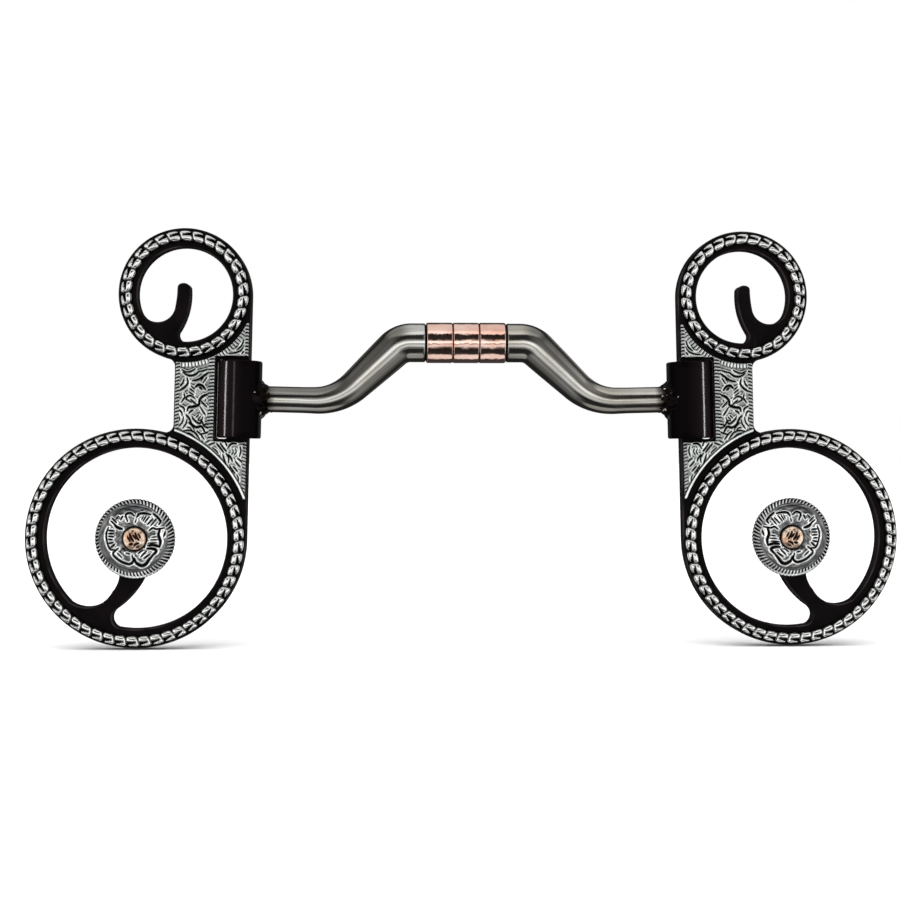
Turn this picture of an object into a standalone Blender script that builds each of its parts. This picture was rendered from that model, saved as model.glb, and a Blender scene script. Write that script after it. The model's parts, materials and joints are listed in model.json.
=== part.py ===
"""Loose-jaw curb bit: a ported mouthpiece with three copper rollers and two swivelling ring cheeks.

Frame: metres, +Z up, the mouthpiece along X, the decorated faces towards -Y.
The origin is the centre of the middle roller, on the roller pin's axis.
Each cheek is drawn in its own plane: u runs outwards from its hinge axis, v runs up along that axis.
"""

import math

import bmesh
import bpy

MM = 0.001
COLLECTION_NAME = "curb_bit"
GAP = 0.3 * MM                      # between pieces that touch

# Mouthpiece: rollers, pin and bars
MOUTH_WIDTH = 127.0 * MM            # between the inner sides of the two hinge sleeves
ROLLER_RADIUS = 6.3 * MM
ROLLER_LENGTH = 7.9 * MM
ROLLER_CHAMFER = 0.4 * MM
PIN_RADIUS = 3.0 * MM
PIN_DEPTH = 4.6 * MM                # how far the pin reaches into each bar
BAR_END_RADIUS = 6.05 * MM          # beside the rollers
BAR_RADIUS = 4.05 * MM              # beside the cheeks
BAR_CHAMFER = 0.45 * MM
BAR_FLAT = 4.6 * MM                 # straight length beside the rollers
PORT_BEND_RADIUS = 8.0 * MM
PORT_SLOPE = 43.0                   # degrees below level
PORT_SLOPE_LENGTH = 16.3 * MM
BAR_BEND_RADIUS = 17.7 * MM
WELD_RADIUS = 5.4 * MM              # flare where a bar meets its sleeve
WELD_LENGTH = 3.6 * MM

# Hinge between a bar and a cheek
HINGE_DROP = 17.8 * MM              # middle of the sleeve below the roller axis
HINGE_TILT = 1.38                   # degrees, the tops lean towards each other
SLEEVE_RADIUS = 6.8 * MM
SLEEVE_BORE = 4.4 * MM
SLEEVE_LENGTH = 24.0 * MM
SLEEVE_CHAMFER = 0.6 * MM

# Cheek plate
PLATE_THICKNESS = 5.0 * MM
PLATE_EDGE = 0.5 * MM               # chamfer round every outline
STRIP_WIDTH = 6.5 * MM              # the strip that turns inside the sleeve
WINDOW_WIDTH = 3.85 * MM
WINDOW_HEIGHT = 24.6 * MM
WINDOW_CORNER = 1.0 * MM
NECK_WIDTH = 23.2 * MM
NECK_FILLET = 2.5 * MM
INNER_EDGE = -STRIP_WIDTH / 2
OUTER_EDGE = INNER_EDGE + NECK_WIDTH

# Purchase ring (above the hinge) and rein ring (below it)
PURCHASE_RADIUS = 20.5 * MM
PURCHASE_HOLE = 14.6 * MM
PURCHASE_HEIGHT = 32.0 * MM
REIN_RADIUS = 33.9 * MM
REIN_HOLE = 28.0 * MM
REIN_DROP = 43.7 * MM
PURCHASE_CENTRE = (INNER_EDGE + PURCHASE_RADIUS, PURCHASE_HEIGHT)
REIN_CENTRE = (INNER_EDGE + REIN_RADIUS, -REIN_DROP)
BOSS_RADIUS = 6.5 * MM              # round end of the stem, under the concho

# Trim on the front of each cheek
ROPE_HALF_WIDTH = 1.8 * MM
ROPE_HEIGHT = 1.9 * MM
PURCHASE_ROPE = 17.9 * MM
REIN_ROPE = 31.6 * MM
OVERLAY_THICKNESS = 0.8 * MM
OVERLAY_MARGIN = 0.5 * MM
OVERLAY_TIP = 0.8 * MM              # width of the blunt tips beside the inner edge
OVERLAY_NOTCH_SIDE = 0.35 * MM      # from the window's outer side to the overlay
OVERLAY_NOTCH_END = 0.8 * MM        # from the window's ends to the overlay
OVERLAY_PURCHASE_ARC = 21.0 * MM
OVERLAY_REIN_ARC = 35.1 * MM
CONCHO_RADIUS = 12.3 * MM
CONCHO_THICKNESS = 2.0 * MM
CONCHO_RIM = 1.3 * MM
RIVET_HEAD_RADIUS = 3.5 * MM
RIVET_HEAD_HEIGHT = 1.2 * MM
RIVET_SHANK = 1.5 * MM
RIVET_BORE = 1.8 * MM
RIVET_BACK_RADIUS = 2.7 * MM
RIVET_BACK_HEIGHT = 1.0 * MM

# How finely round shapes are cut
BAR_SIDES = 20
TURN_STEPS = 36                     # sleeves, rollers, conchos
SMALL_TURN_STEPS = 20               # pin, rivets and their holes
PURCHASE_STEPS = 36
REIN_STEPS = 48
ROPE_STEPS = 3                      # over a quarter of the rope's half-round section

HALF_THICKNESS = PLATE_THICKNESS / 2
ROLLER_ROW = 3 * ROLLER_LENGTH + 2 * GAP
BAR_START = ROLLER_ROW / 2 + GAP
HINGE_X = MOUTH_WIDTH / 2 + SLEEVE_RADIUS
SIDES = {"left": -1, "right": 1}


def clear_scene():
    """Remove everything the file opened with."""
    for obj in list(bpy.data.objects):
        bpy.data.objects.remove(obj, do_unlink=True)


def new_collection(name):
    """Add a collection to the scene."""
    collection = bpy.data.collections.new(name)
    bpy.context.scene.collection.children.link(collection)
    return collection


def metal(name, colour, roughness):
    """A plain metal."""
    material = bpy.data.materials.new(name)
    material.use_nodes = True
    shader = material.node_tree.nodes["Principled BSDF"]
    shader.inputs["Base Color"].default_value = (*colour, 1.0)
    shader.inputs["Roughness"].default_value = roughness
    shader.inputs["Metallic"].default_value = 1.0
    return material


def polar(centre, radius, degrees):
    """The point at an angle on a circle."""
    angle = math.radians(degrees)
    return (centre[0] + radius * math.cos(angle), centre[1] + radius * math.sin(angle))


def arc(centre, radius, start, end, steps):
    """Points along a circular arc, both ends included, angles in degrees."""
    return [polar(centre, radius, start + (end - start) * i / steps) for i in range(steps + 1)]


def bearing(centre, point):
    """The direction of a point seen from a centre, in degrees."""
    return math.degrees(math.atan2(point[1] - centre[1], point[0] - centre[0]))


def arc_through(first, middle, last, steps):
    """Points along the arc that starts at the first point, passes the middle one and ends at the last."""
    (ax, ay), (bx, by), (cx, cy) = first, middle, last
    twice_area = 2 * (ax * (by - cy) + bx * (cy - ay) + cx * (ay - by))
    squares = [x * x + y * y for x, y in (first, middle, last)]
    centre = (
        (squares[0] * (by - cy) + squares[1] * (cy - ay) + squares[2] * (ay - by)) / twice_area,
        (squares[0] * (cx - bx) + squares[1] * (ax - cx) + squares[2] * (bx - ax)) / twice_area,
    )
    start = bearing(centre, first)
    turn = (bearing(centre, last) - start) % 360
    if (bearing(centre, middle) - start) % 360 > turn:
        turn -= 360
    return arc(centre, math.dist(centre, first), start, start + turn, steps)


def shifted(points, centre):
    """Points given in millimetres round a centre, moved to the cheek's plane."""
    return [(centre[0] + x * MM, centre[1] + y * MM) for x, y in points]


def rounded_box(left, right, bottom, top, radius, steps):
    """A rectangle with round corners."""
    points = arc((right - radius, top - radius), radius, 0, 90, steps)
    points += arc((left + radius, top - radius), radius, 90, 180, steps)
    points += arc((left + radius, bottom + radius), radius, 180, 270, steps)
    points += arc((right - radius, bottom + radius), radius, 270, 360, steps)
    return points


def plate_outline():
    """The outer edge: two rings and the neck between them, all meeting the straight inner edge."""
    fillet_u = OUTER_EDGE + NECK_FILLET
    rise = math.sqrt((REIN_RADIUS + NECK_FILLET) ** 2 - (fillet_u - REIN_CENTRE[0]) ** 2)
    lower = (fillet_u, REIN_CENTRE[1] + rise)
    drop = math.sqrt((PURCHASE_RADIUS + NECK_FILLET) ** 2 - (fillet_u - PURCHASE_CENTRE[0]) ** 2)
    upper = (fillet_u, PURCHASE_CENTRE[1] - drop)
    rein_end = bearing(REIN_CENTRE, lower)
    purchase_start = bearing(PURCHASE_CENTRE, upper)
    points = arc(REIN_CENTRE, REIN_RADIUS, -180, rein_end, REIN_STEPS)
    points += arc(lower, NECK_FILLET, rein_end - 180, -180, 5)[1:]
    points += arc(upper, NECK_FILLET, 180, purchase_start + 180, 5)
    points += arc(PURCHASE_CENTRE, PURCHASE_RADIUS, purchase_start, 180, PURCHASE_STEPS - 8)[1:]
    return points


def purchase_hole():
    """The purchase ring's opening, with the curl that rises from its lower outer edge."""
    bowl = arc_through((13.05, -6.4), (8.7, -8.75), (3.0, -3.7), 7)
    outer_side = arc_through((3.0, -3.7), (2.6, -0.6), (2.5, 2.0), 3)[1:]
    tip = arc_through((2.5, 2.0), (0.6, 3.6), (-1.6, 1.6), 5)[1:]
    inner_side = arc_through((-1.6, 1.6), (-1.1, -5.0), (1.75, -11.9), 5)[1:]
    root = arc_through((1.75, -11.9), (1.7, -13.2), (0.5, -14.5), 4)[1:]
    curl = shifted(bowl + outer_side + tip + inner_side + root, PURCHASE_CENTRE)
    start = bearing(PURCHASE_CENTRE, curl[-1])
    end = bearing(PURCHASE_CENTRE, curl[0]) - 360
    return curl + arc(PURCHASE_CENTRE, PURCHASE_HOLE, start, end, PURCHASE_STEPS - 8)[1:-1]


def rein_hole():
    """The rein ring's opening, with the stem that carries the concho."""
    bowl = arc_through((19.5, -20.1), (14.0, -21.5), (6.8, -16.6), 8)
    outer_side = arc_through((6.8, -16.6), (4.9, -12.6), (5.0, -8.6), 4)[1:]
    boss = arc((0, 0), BOSS_RADIUS / MM, -50, 215, 14)
    inner_side = arc_through((-4.2, -8.2), (-0.8, -15.6), (5.4, -22.0), 5)
    root = arc_through((5.4, -22.0), (6.7, -25.0), (4.8, -27.6), 5)[1:]
    stem = shifted(bowl + outer_side + boss + inner_side + root, REIN_CENTRE)
    start = bearing(REIN_CENTRE, stem[-1])
    end = bearing(REIN_CENTRE, stem[0]) - 360
    return stem + arc(REIN_CENTRE, REIN_HOLE, start, end, REIN_STEPS - 8)[1:-1]


def overlay_outline():
    """The silver overlay: it fills the neck between the rings and leaves the sleeve's window free."""
    left = INNER_EDGE + OVERLAY_MARGIN
    right = OUTER_EDGE - OVERLAY_MARGIN
    window = STRIP_WIDTH / 2 + WINDOW_WIDTH + OVERLAY_NOTCH_SIDE
    half_window = WINDOW_HEIGHT / 2 + OVERLAY_NOTCH_END
    tip = left + OVERLAY_TIP
    low_start = 180 - math.degrees(math.acos((REIN_CENTRE[0] - tip) / OVERLAY_REIN_ARC))
    low_end = math.degrees(math.acos((right - REIN_CENTRE[0]) / OVERLAY_REIN_ARC))
    high_start = -math.degrees(math.acos((right - PURCHASE_CENTRE[0]) / OVERLAY_PURCHASE_ARC))
    high_end = math.degrees(math.acos((PURCHASE_CENTRE[0] - tip) / OVERLAY_PURCHASE_ARC)) - 180
    points = arc(REIN_CENTRE, OVERLAY_REIN_ARC, low_start, low_end, 14)
    points += arc(PURCHASE_CENTRE, OVERLAY_PURCHASE_ARC, high_start, high_end, 14)
    round_off = OVERLAY_MARGIN
    points += [(left, points[-1][1])]
    points += arc((left + round_off, half_window + round_off), round_off, 180, 270, 3)
    points += arc((window - round_off, half_window - round_off), round_off, 90, 0, 3)
    points += arc((window - round_off, round_off - half_window), round_off, 0, -90, 3)
    points += arc((left + round_off, -half_window - round_off), round_off, 90, 180, 3)
    points += [(left, points[0][1])]
    return points


def flat_piece(name, outlines, thickness, edge, front, side, material, hinge):
    """A flat piece in a cheek's plane, its front face at a distance in front of the hinge axis."""
    curve = bpy.data.curves.new(name, "CURVE")
    curve.dimensions = "2D"
    curve.fill_mode = "BOTH"
    curve.extrude = thickness / 2 - edge
    curve.bevel_depth = edge
    curve.bevel_resolution = 0
    curve.offset = -edge
    for outline in outlines:
        spline = curve.splines.new("POLY")
        spline.points.add(len(outline) - 1)
        for point, (u, v) in zip(spline.points, outline):
            point.co = (side * u, v, 0, 1)
        spline.use_cyclic_u = True
    curve.materials.append(material)
    obj = bpy.data.objects.new(name, curve)
    parts.objects.link(obj)
    obj.parent = hinge
    obj.location = (0, thickness / 2 - front, 0)
    obj.rotation_euler = (math.radians(90), 0, 0)
    return obj


def turned_piece(name, profile, closed, steps, material, location, rotation, parent=None):
    """A turned piece: a profile of (radius, height) points swept round its own Z axis."""
    mesh = bpy.data.meshes.new(name)
    vertices = [(radius, 0, height) for radius, height in profile]
    edges = [(i, i + 1) for i in range(len(profile) - 1)]
    if closed:
        edges.append((len(profile) - 1, 0))
    mesh.from_pydata(vertices, edges, [])
    mesh.materials.append(material)
    obj = bpy.data.objects.new(name, mesh)
    parts.objects.link(obj)
    screw = obj.modifiers.new("turn", "SCREW")
    screw.steps = steps
    screw.render_steps = steps
    screw.use_merge_vertices = True
    screw.merge_threshold = 0.00001
    screw.use_smooth_shade = True
    obj.parent = parent
    obj.location = location
    obj.rotation_euler = rotation
    return obj


def tube_profile(radius, bore, length, chamfer):
    """Profile of a tube about its middle, with chamfered outer ends."""
    half = length / 2
    return [
        (bore, half), (radius - chamfer, half), (radius, half - chamfer),
        (radius, chamfer - half), (radius - chamfer, -half), (bore, -half),
    ]


def rod_profile(radius, length, chamfer):
    """Profile of a solid rod about its middle."""
    return [(0, length / 2)] + tube_profile(radius, 0, length, chamfer)[1:5] + [(0, -length / 2)]


def rope_profile(centre_radius):
    """Half-round profile of a rope trim, its flat side at height 0."""
    outer = arc((0, 0), 1, 90, 0, ROPE_STEPS)
    inner = arc((0, 0), 1, 180, 90, ROPE_STEPS)[:-1]
    return [(centre_radius + ROPE_HALF_WIDTH * x, ROPE_HEIGHT * y) for x, y in outer + inner]


def concho_profile():
    """A low domed disc with a thinner rim and a hole for its rivet."""
    slope_start = CONCHO_RADIUS * 0.7
    return [
        (RIVET_BORE, CONCHO_THICKNESS), (slope_start, CONCHO_THICKNESS),
        (CONCHO_RADIUS - PLATE_EDGE, CONCHO_RIM), (CONCHO_RADIUS, CONCHO_RIM - PLATE_EDGE),
        (CONCHO_RADIUS, 0), (RIVET_BORE, 0),
    ]


def rivet_profile():
    """Domed front head, shank through concho and boss, and a flat hammered back head."""
    front = CONCHO_THICKNESS + GAP
    back = -PLATE_THICKNESS - 2 * GAP
    dome = arc((0, front), 1, 90, 0, 5)
    head = [(RIVET_HEAD_RADIUS * x, front + RIVET_HEAD_HEIGHT * (y - front)) for x, y in dome]
    head[0] = (0, head[0][1])
    return head + [
        (RIVET_SHANK, front), (RIVET_SHANK, back), (RIVET_BACK_RADIUS, back),
        (RIVET_BACK_RADIUS - PLATE_EDGE, back - RIVET_BACK_HEIGHT), (0, back - RIVET_BACK_HEIGHT),
    ]


def bar_centreline():
    """Stations (x, z) along the right bar, from the rollers to the sleeve."""
    slope = math.radians(PORT_SLOPE)
    rise = math.radians(HINGE_TILT)
    x, z = BAR_START, 0.0
    stations = [(x, z), (x + BAR_CHAMFER, z), (x + BAR_FLAT, z)]
    x += BAR_FLAT
    for i in range(1, 6):
        angle = slope * i / 5
        stations.append((x + PORT_BEND_RADIUS * math.sin(angle), -PORT_BEND_RADIUS * (1 - math.cos(angle))))
    x, z = stations[-1]
    for i in range(1, 4):
        along = PORT_SLOPE_LENGTH * i / 3
        stations.append((x + along * math.cos(slope), z - along * math.sin(slope)))
    x, z = stations[-1]
    for i in range(1, 7):
        heading = -slope + (slope + rise) * i / 6
        stations.append((
            x + BAR_BEND_RADIUS * (math.sin(heading) + math.sin(slope)),
            z - BAR_BEND_RADIUS * (math.cos(heading) - math.cos(slope)),
        ))
    x, z = stations[-1]
    inner_face = HINGE_X - SLEEVE_RADIUS
    weld_stations = (inner_face - WELD_LENGTH, inner_face - WELD_LENGTH / 3, inner_face)
    for end in (*weld_stations, inner_face + 0.4 * SLEEVE_RADIUS):
        stations.append((end, z + (end - x) * math.tan(rise)))
    return stations


def bar_radius(x):
    """The bar tapers from the rollers to the cheek and flares again at its weld."""
    weld_end = HINGE_X - SLEEVE_RADIUS
    taper_start = BAR_START + BAR_FLAT
    taper_end = taper_start + 2 * BAR_BEND_RADIUS
    if x < BAR_START + BAR_CHAMFER / 2:
        return BAR_END_RADIUS - BAR_CHAMFER
    if x > weld_end - WELD_LENGTH:
        share = min(1.0, (x - weld_end + WELD_LENGTH) / WELD_LENGTH)
        return BAR_RADIUS + (WELD_RADIUS - BAR_RADIUS) * share * share
    share = min(1.0, max(0.0, (x - taper_start) / (taper_end - taper_start)))
    return BAR_END_RADIUS + (BAR_RADIUS - BAR_END_RADIUS) * share ** 0.7


def mesh_from_curve(obj):
    """Replace a curve object by the closed mesh it evaluates to."""
    name, matrix, material = obj.name, obj.matrix_world.copy(), obj.data.materials[0]
    evaluated = obj.evaluated_get(bpy.context.evaluated_depsgraph_get())
    mesh = bpy.data.meshes.new_from_object(evaluated)
    bpy.data.objects.remove(obj, do_unlink=True)
    weld = bmesh.new()
    weld.from_mesh(mesh)
    bmesh.ops.remove_doubles(weld, verts=weld.verts, dist=0.000001)
    weld.to_mesh(mesh)
    weld.free()
    mesh.materials.clear()
    mesh.materials.append(material)
    solid = bpy.data.objects.new(name, mesh)
    solid.matrix_world = matrix
    parts.objects.link(solid)
    return solid


def cutter_rod(name, radius, length, location, rotation):
    """A cylinder that only cuts."""
    mesh = bpy.data.meshes.new(name)
    rod = bmesh.new()
    bmesh.ops.create_cone(rod, cap_ends=True, segments=48, radius1=radius, radius2=radius, depth=length)
    rod.to_mesh(mesh)
    rod.free()
    obj = bpy.data.objects.new(name, mesh)
    cutters.objects.link(obj)
    obj.location = location
    obj.rotation_euler = rotation
    obj.hide_render = True
    obj.display_type = "WIRE"
    return obj


def cut(obj, cutter):
    """Subtract a cutter."""
    boolean = obj.modifiers.new(cutter.name, "BOOLEAN")
    boolean.operation = "DIFFERENCE"
    boolean.solver = "EXACT"
    boolean.object = cutter


def mouth_bar(name, side, material):
    """One ported half of the mouthpiece, bored for the pin and saddled against its sleeve."""
    curve = bpy.data.curves.new(name, "CURVE")
    curve.dimensions = "3D"
    curve.bevel_depth = 1.0
    curve.bevel_resolution = BAR_SIDES // 2 - 2
    curve.use_fill_caps = True
    stations = bar_centreline()
    spline = curve.splines.new("POLY")
    spline.points.add(len(stations) - 1)
    for point, (x, z) in zip(spline.points, stations):
        point.co = (side * x, 0, z, 1)
        point.radius = bar_radius(x)
    curve.materials.append(material)
    obj = bpy.data.objects.new(name, curve)
    parts.objects.link(obj)
    bpy.context.view_layer.update()
    bar = mesh_from_curve(obj)
    bore_length = 2 * (PIN_DEPTH + GAP)
    bore = cutter_rod(
        f"{name}_pin_bore", PIN_RADIUS + GAP, bore_length,
        (side * BAR_START, 0, 0), (0, math.radians(90), 0),
    )
    saddle = cutter_rod(
        f"{name}_saddle", SLEEVE_RADIUS + GAP, SLEEVE_LENGTH,
        (side * HINGE_X, 0, -HINGE_DROP), (0, math.radians(-side * HINGE_TILT), 0),
    )
    cut(bar, bore)
    cut(bar, saddle)
    return bar


def rollers(material):
    """Three loose rollers side by side on the pin."""
    profile = tube_profile(ROLLER_RADIUS, PIN_RADIUS + GAP, ROLLER_LENGTH, ROLLER_CHAMFER)
    for index, name in enumerate(("left", "centre", "right")):
        x = (index - 1) * (ROLLER_LENGTH + GAP)
        turned_piece(
            f"{name}_copper_roller", profile, True, TURN_STEPS, material,
            (x, 0, 0), (0, math.radians(90), 0),
        )


def roller_pin(material):
    """The fixed pin that carries the rollers and joins the two bars."""
    profile = rod_profile(PIN_RADIUS, 2 * (BAR_START + PIN_DEPTH), ROLLER_CHAMFER)
    turned_piece(
        "roller_pin", profile, False, SMALL_TURN_STEPS, material,
        (0, 0, 0), (0, math.radians(90), 0),
    )


def hinge_frame(name, side):
    """An empty on a cheek's hinge axis, at the middle of the sleeve."""
    empty = bpy.data.objects.new(f"{name}_hinge_axis", None)
    parts.objects.link(empty)
    empty.location = (side * HINGE_X, 0, -HINGE_DROP)
    empty.rotation_euler = (0, math.radians(-side * HINGE_TILT), 0)
    return empty


def cheek(name, side, hinge):
    """One cheek: plate, overlay, two rope trims, and the concho on its stem."""
    facing = (math.radians(90), 0, 0)
    front = HALF_THICKNESS + GAP
    window = rounded_box(
        STRIP_WIDTH / 2, STRIP_WIDTH / 2 + WINDOW_WIDTH,
        -WINDOW_HEIGHT / 2, WINDOW_HEIGHT / 2, WINDOW_CORNER, 3,
    )
    rivet_hole = arc(REIN_CENTRE, RIVET_BORE, 0, 360, SMALL_TURN_STEPS)[:-1]
    outlines = [plate_outline(), window, purchase_hole(), rein_hole(), rivet_hole]
    flat_piece(
        f"{name}_cheek_plate", outlines, PLATE_THICKNESS, PLATE_EDGE,
        HALF_THICKNESS, side, black_steel, hinge,
    )
    flat_piece(
        f"{name}_shank_overlay", [overlay_outline()], OVERLAY_THICKNESS, 0,
        front + OVERLAY_THICKNESS, side, engraved_silver, hinge,
    )
    trims = (
        ("purchase", PURCHASE_CENTRE, PURCHASE_ROPE, PURCHASE_STEPS),
        ("rein", REIN_CENTRE, REIN_ROPE, REIN_STEPS),
    )
    for ring, (u, v), radius, steps in trims:
        turned_piece(
            f"{name}_{ring}_ring_rope", rope_profile(radius), True, steps, rope_silver,
            (side * u, -front, v), facing, hinge,
        )
    concho_place = (side * REIN_CENTRE[0], -front, REIN_CENTRE[1])
    turned_piece(
        f"{name}_concho", concho_profile(), True, TURN_STEPS, concho_silver, concho_place, facing, hinge,
    )
    turned_piece(
        f"{name}_concho_rivet", rivet_profile(), False, SMALL_TURN_STEPS, rivet_copper,
        concho_place, facing, hinge,
    )


clear_scene()
parts = new_collection(COLLECTION_NAME)
cutters = new_collection("cutters")

black_steel = metal("black_steel", (0.018, 0.016, 0.018), 0.38)
gloss_black = metal("gloss_black_steel", (0.014, 0.013, 0.016), 0.18)
brushed_steel = metal("brushed_steel", (0.42, 0.40, 0.37), 0.32)
rope_silver = metal("rope_silver", (0.60, 0.61, 0.59), 0.28)
engraved_silver = metal("engraved_silver", (0.38, 0.41, 0.39), 0.36)
concho_silver = metal("concho_silver", (0.34, 0.36, 0.35), 0.38)
roller_copper = metal("roller_copper", (0.82, 0.46, 0.36), 0.20)
rivet_copper = metal("rivet_copper", (0.80, 0.45, 0.30), 0.28)

roller_pin(brushed_steel)
rollers(roller_copper)
sleeve_profile = tube_profile(SLEEVE_RADIUS, SLEEVE_BORE, SLEEVE_LENGTH, SLEEVE_CHAMFER)
for side_name, side_sign in SIDES.items():
    axis = hinge_frame(side_name, side_sign)
    turned_piece(
        f"{side_name}_hinge_sleeve", sleeve_profile, True, TURN_STEPS, gloss_black,
        (0, 0, 0), (0, 0, 0), axis,
    )
    mouth_bar(f"{side_name}_mouth_bar", side_sign, brushed_steel)
    cheek(side_name, side_sign, axis)
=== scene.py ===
"""Finished look of the curb bit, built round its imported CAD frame.

Every cheek piece is drawn in millimetres in its cheek's own plane: u runs outwards from the hinge axis,
v runs up along it, and h stands out of the decorated face. The mouthpiece uses the frame's own axes.
"""
import json
import math

import bmesh
import bpy
import numpy as np
from mathutils import Matrix, Vector
from mathutils.geometry import delaunay_2d_cdt


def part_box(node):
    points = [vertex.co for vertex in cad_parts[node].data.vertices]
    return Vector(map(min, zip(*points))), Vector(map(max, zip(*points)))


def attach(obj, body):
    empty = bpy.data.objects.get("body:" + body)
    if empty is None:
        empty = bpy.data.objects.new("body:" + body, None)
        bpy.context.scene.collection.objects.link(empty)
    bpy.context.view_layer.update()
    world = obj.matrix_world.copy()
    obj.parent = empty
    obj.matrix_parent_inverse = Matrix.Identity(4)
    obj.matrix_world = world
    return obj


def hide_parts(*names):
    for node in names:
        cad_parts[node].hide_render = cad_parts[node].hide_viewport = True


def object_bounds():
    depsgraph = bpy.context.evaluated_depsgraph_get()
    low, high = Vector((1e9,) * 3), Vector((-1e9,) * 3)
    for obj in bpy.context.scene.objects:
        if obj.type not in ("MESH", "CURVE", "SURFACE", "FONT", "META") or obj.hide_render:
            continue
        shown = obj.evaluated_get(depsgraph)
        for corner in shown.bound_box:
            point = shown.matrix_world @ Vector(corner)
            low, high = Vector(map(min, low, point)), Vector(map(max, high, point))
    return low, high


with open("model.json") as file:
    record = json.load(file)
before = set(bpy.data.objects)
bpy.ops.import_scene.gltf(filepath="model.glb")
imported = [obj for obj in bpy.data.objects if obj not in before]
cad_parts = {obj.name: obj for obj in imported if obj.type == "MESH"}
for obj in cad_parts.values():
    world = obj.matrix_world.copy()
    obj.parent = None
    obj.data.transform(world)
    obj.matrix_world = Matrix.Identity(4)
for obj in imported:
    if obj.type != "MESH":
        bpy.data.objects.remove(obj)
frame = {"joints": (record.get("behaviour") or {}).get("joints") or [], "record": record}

CAD_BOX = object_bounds()
MM = 0.001
RECORD = frame["record"]
BODY_OF = {node: body for body, nodes in RECORD["behaviour"]["bodies"].items() for node in nodes}
JOINTS = {joint["name"]: joint for joint in frame["joints"]}
SIDES = {"left": -1, "right": 1}


# ---------------------------------------------------------------- places read from the frame

def box_mm(node):
    """Centre and full size of a CAD node, in millimetres."""
    low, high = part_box(node)
    return (low + high) / 2 / MM, (high - low) / MM


class Cheek:
    """The plane of one cheek, from its hinge joint."""

    def __init__(self, name, side):
        joint = JOINTS[f"{name}_cheek_swivel"]
        self.origin = Vector(joint["pos_m"]) / MM
        up = Vector(joint["axis"])
        self.up = up if up.z > 0 else -up
        self.out = side * Vector((0, 1, 0)).cross(self.up)
        self.front = Vector((0, -1, 0))

    def flat(self, point):
        """A frame point in the cheek's plane."""
        offset = point - self.origin
        return offset.dot(self.out), offset.dot(self.up)

    def matrix(self, centre=(0.0, 0.0), height=0.0):
        """Takes (u, v, h) round a centre, in millimetres, to the frame in metres."""
        place = self.origin + centre[0] * self.out + centre[1] * self.up + height * self.front
        turn = Matrix((self.out, self.up, self.front)).transposed().to_4x4()
        return Matrix.Scale(MM, 4) @ Matrix.Translation(place) @ turn


CHEEKS = {name: Cheek(name, side) for name, side in SIDES.items()}
RIGHT = CHEEKS["right"]
PURCHASE_CENTRE = RIGHT.flat(box_mm("right_purchase_ring_rope")[0])
REIN_CENTRE = RIGHT.flat(box_mm("right_rein_ring_rope")[0])
PLATE_HALF = box_mm("right_cheek_plate")[1].y / 2
PURCHASE_ROPE_OUTER = box_mm("right_purchase_ring_rope")[1].z / 2
REIN_ROPE_OUTER = box_mm("right_rein_ring_rope")[1].z / 2
OVERLAY_HEIGHT = box_mm("right_shank_overlay")[1].y
CONCHO_RADIUS = box_mm("right_concho")[1].z / 2
CONCHO_HEIGHT = box_mm("right_concho")[1].y
RIVET_RADIUS = box_mm("right_concho_rivet")[1].z / 2
SLEEVE_RADIUS = box_mm("right_hinge_sleeve")[1].y / 2
SLEEVE_LENGTH, SLEEVE_BORE, SLEEVE_ROUNDING = 24.0, 4.4, 0.6
ROLLER_LENGTH, ROLLER_RADIUS = box_mm("centre_copper_roller")[1].x, box_mm("centre_copper_roller")[1].z / 2
PIN_LENGTH, PIN_RADIUS = box_mm("roller_pin")[1].x, box_mm("roller_pin")[1].z / 2
BAR_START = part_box("right_mouth_bar")[0].x / MM

# Sizes of the cheek's outlines
INNER_EDGE = -3.25
NECK_WIDTH = 23.2
OUTER_EDGE = INNER_EDGE + NECK_WIDTH
NECK_FILLET = 2.5
PURCHASE_RADIUS = PURCHASE_CENTRE[0] - INNER_EDGE
REIN_RADIUS = REIN_CENTRE[0] - INNER_EDGE
PURCHASE_HOLE = 14.6
REIN_HOLE = 28.0
BOSS_RADIUS = 6.5
WINDOW = (3.25, 7.1, 12.3, 1.0)         # inner side, outer side, half height, corner radius
PLATE_ROUNDING = 0.62
SEAT = 0.02                             # trims sit this far above the plate's face


# ---------------------------------------------------------------- points and curves

def arc(centre, radius, start, end, steps):
    """Points along a circular arc, both ends included, angles in degrees."""
    angles = np.radians(np.linspace(start, end, steps + 1))
    return np.stack([centre[0] + radius * np.cos(angles), centre[1] + radius * np.sin(angles)], axis=1)


def bearing(centre, point):
    """The direction of a point seen from a centre, in degrees."""
    return math.degrees(math.atan2(point[1] - centre[1], point[0] - centre[0]))


def arc_through(first, middle, last, steps):
    """Points along the arc that starts at the first point, passes the middle one and ends at the last."""
    (ax, ay), (bx, by), (cx, cy) = first, middle, last
    twice_area = 2 * (ax * (by - cy) + bx * (cy - ay) + cx * (ay - by))
    squares = [x * x + y * y for x, y in (first, middle, last)]
    centre = (
        (squares[0] * (by - cy) + squares[1] * (cy - ay) + squares[2] * (ay - by)) / twice_area,
        (squares[0] * (cx - bx) + squares[1] * (ax - cx) + squares[2] * (bx - ax)) / twice_area,
    )
    start = bearing(centre, first)
    turn = (bearing(centre, last) - start) % 360
    if (bearing(centre, middle) - start) % 360 > turn:
        turn -= 360
    return arc(centre, math.dist(centre, first), start, start + turn, steps)


def chain(*pieces):
    """One outline from several stretches, without doubled points."""
    points = np.concatenate([np.asarray(piece, float) for piece in pieces])
    step = np.linalg.norm(points - np.roll(points, 1, axis=0), axis=1)
    return points[step > 0.01]


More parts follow.
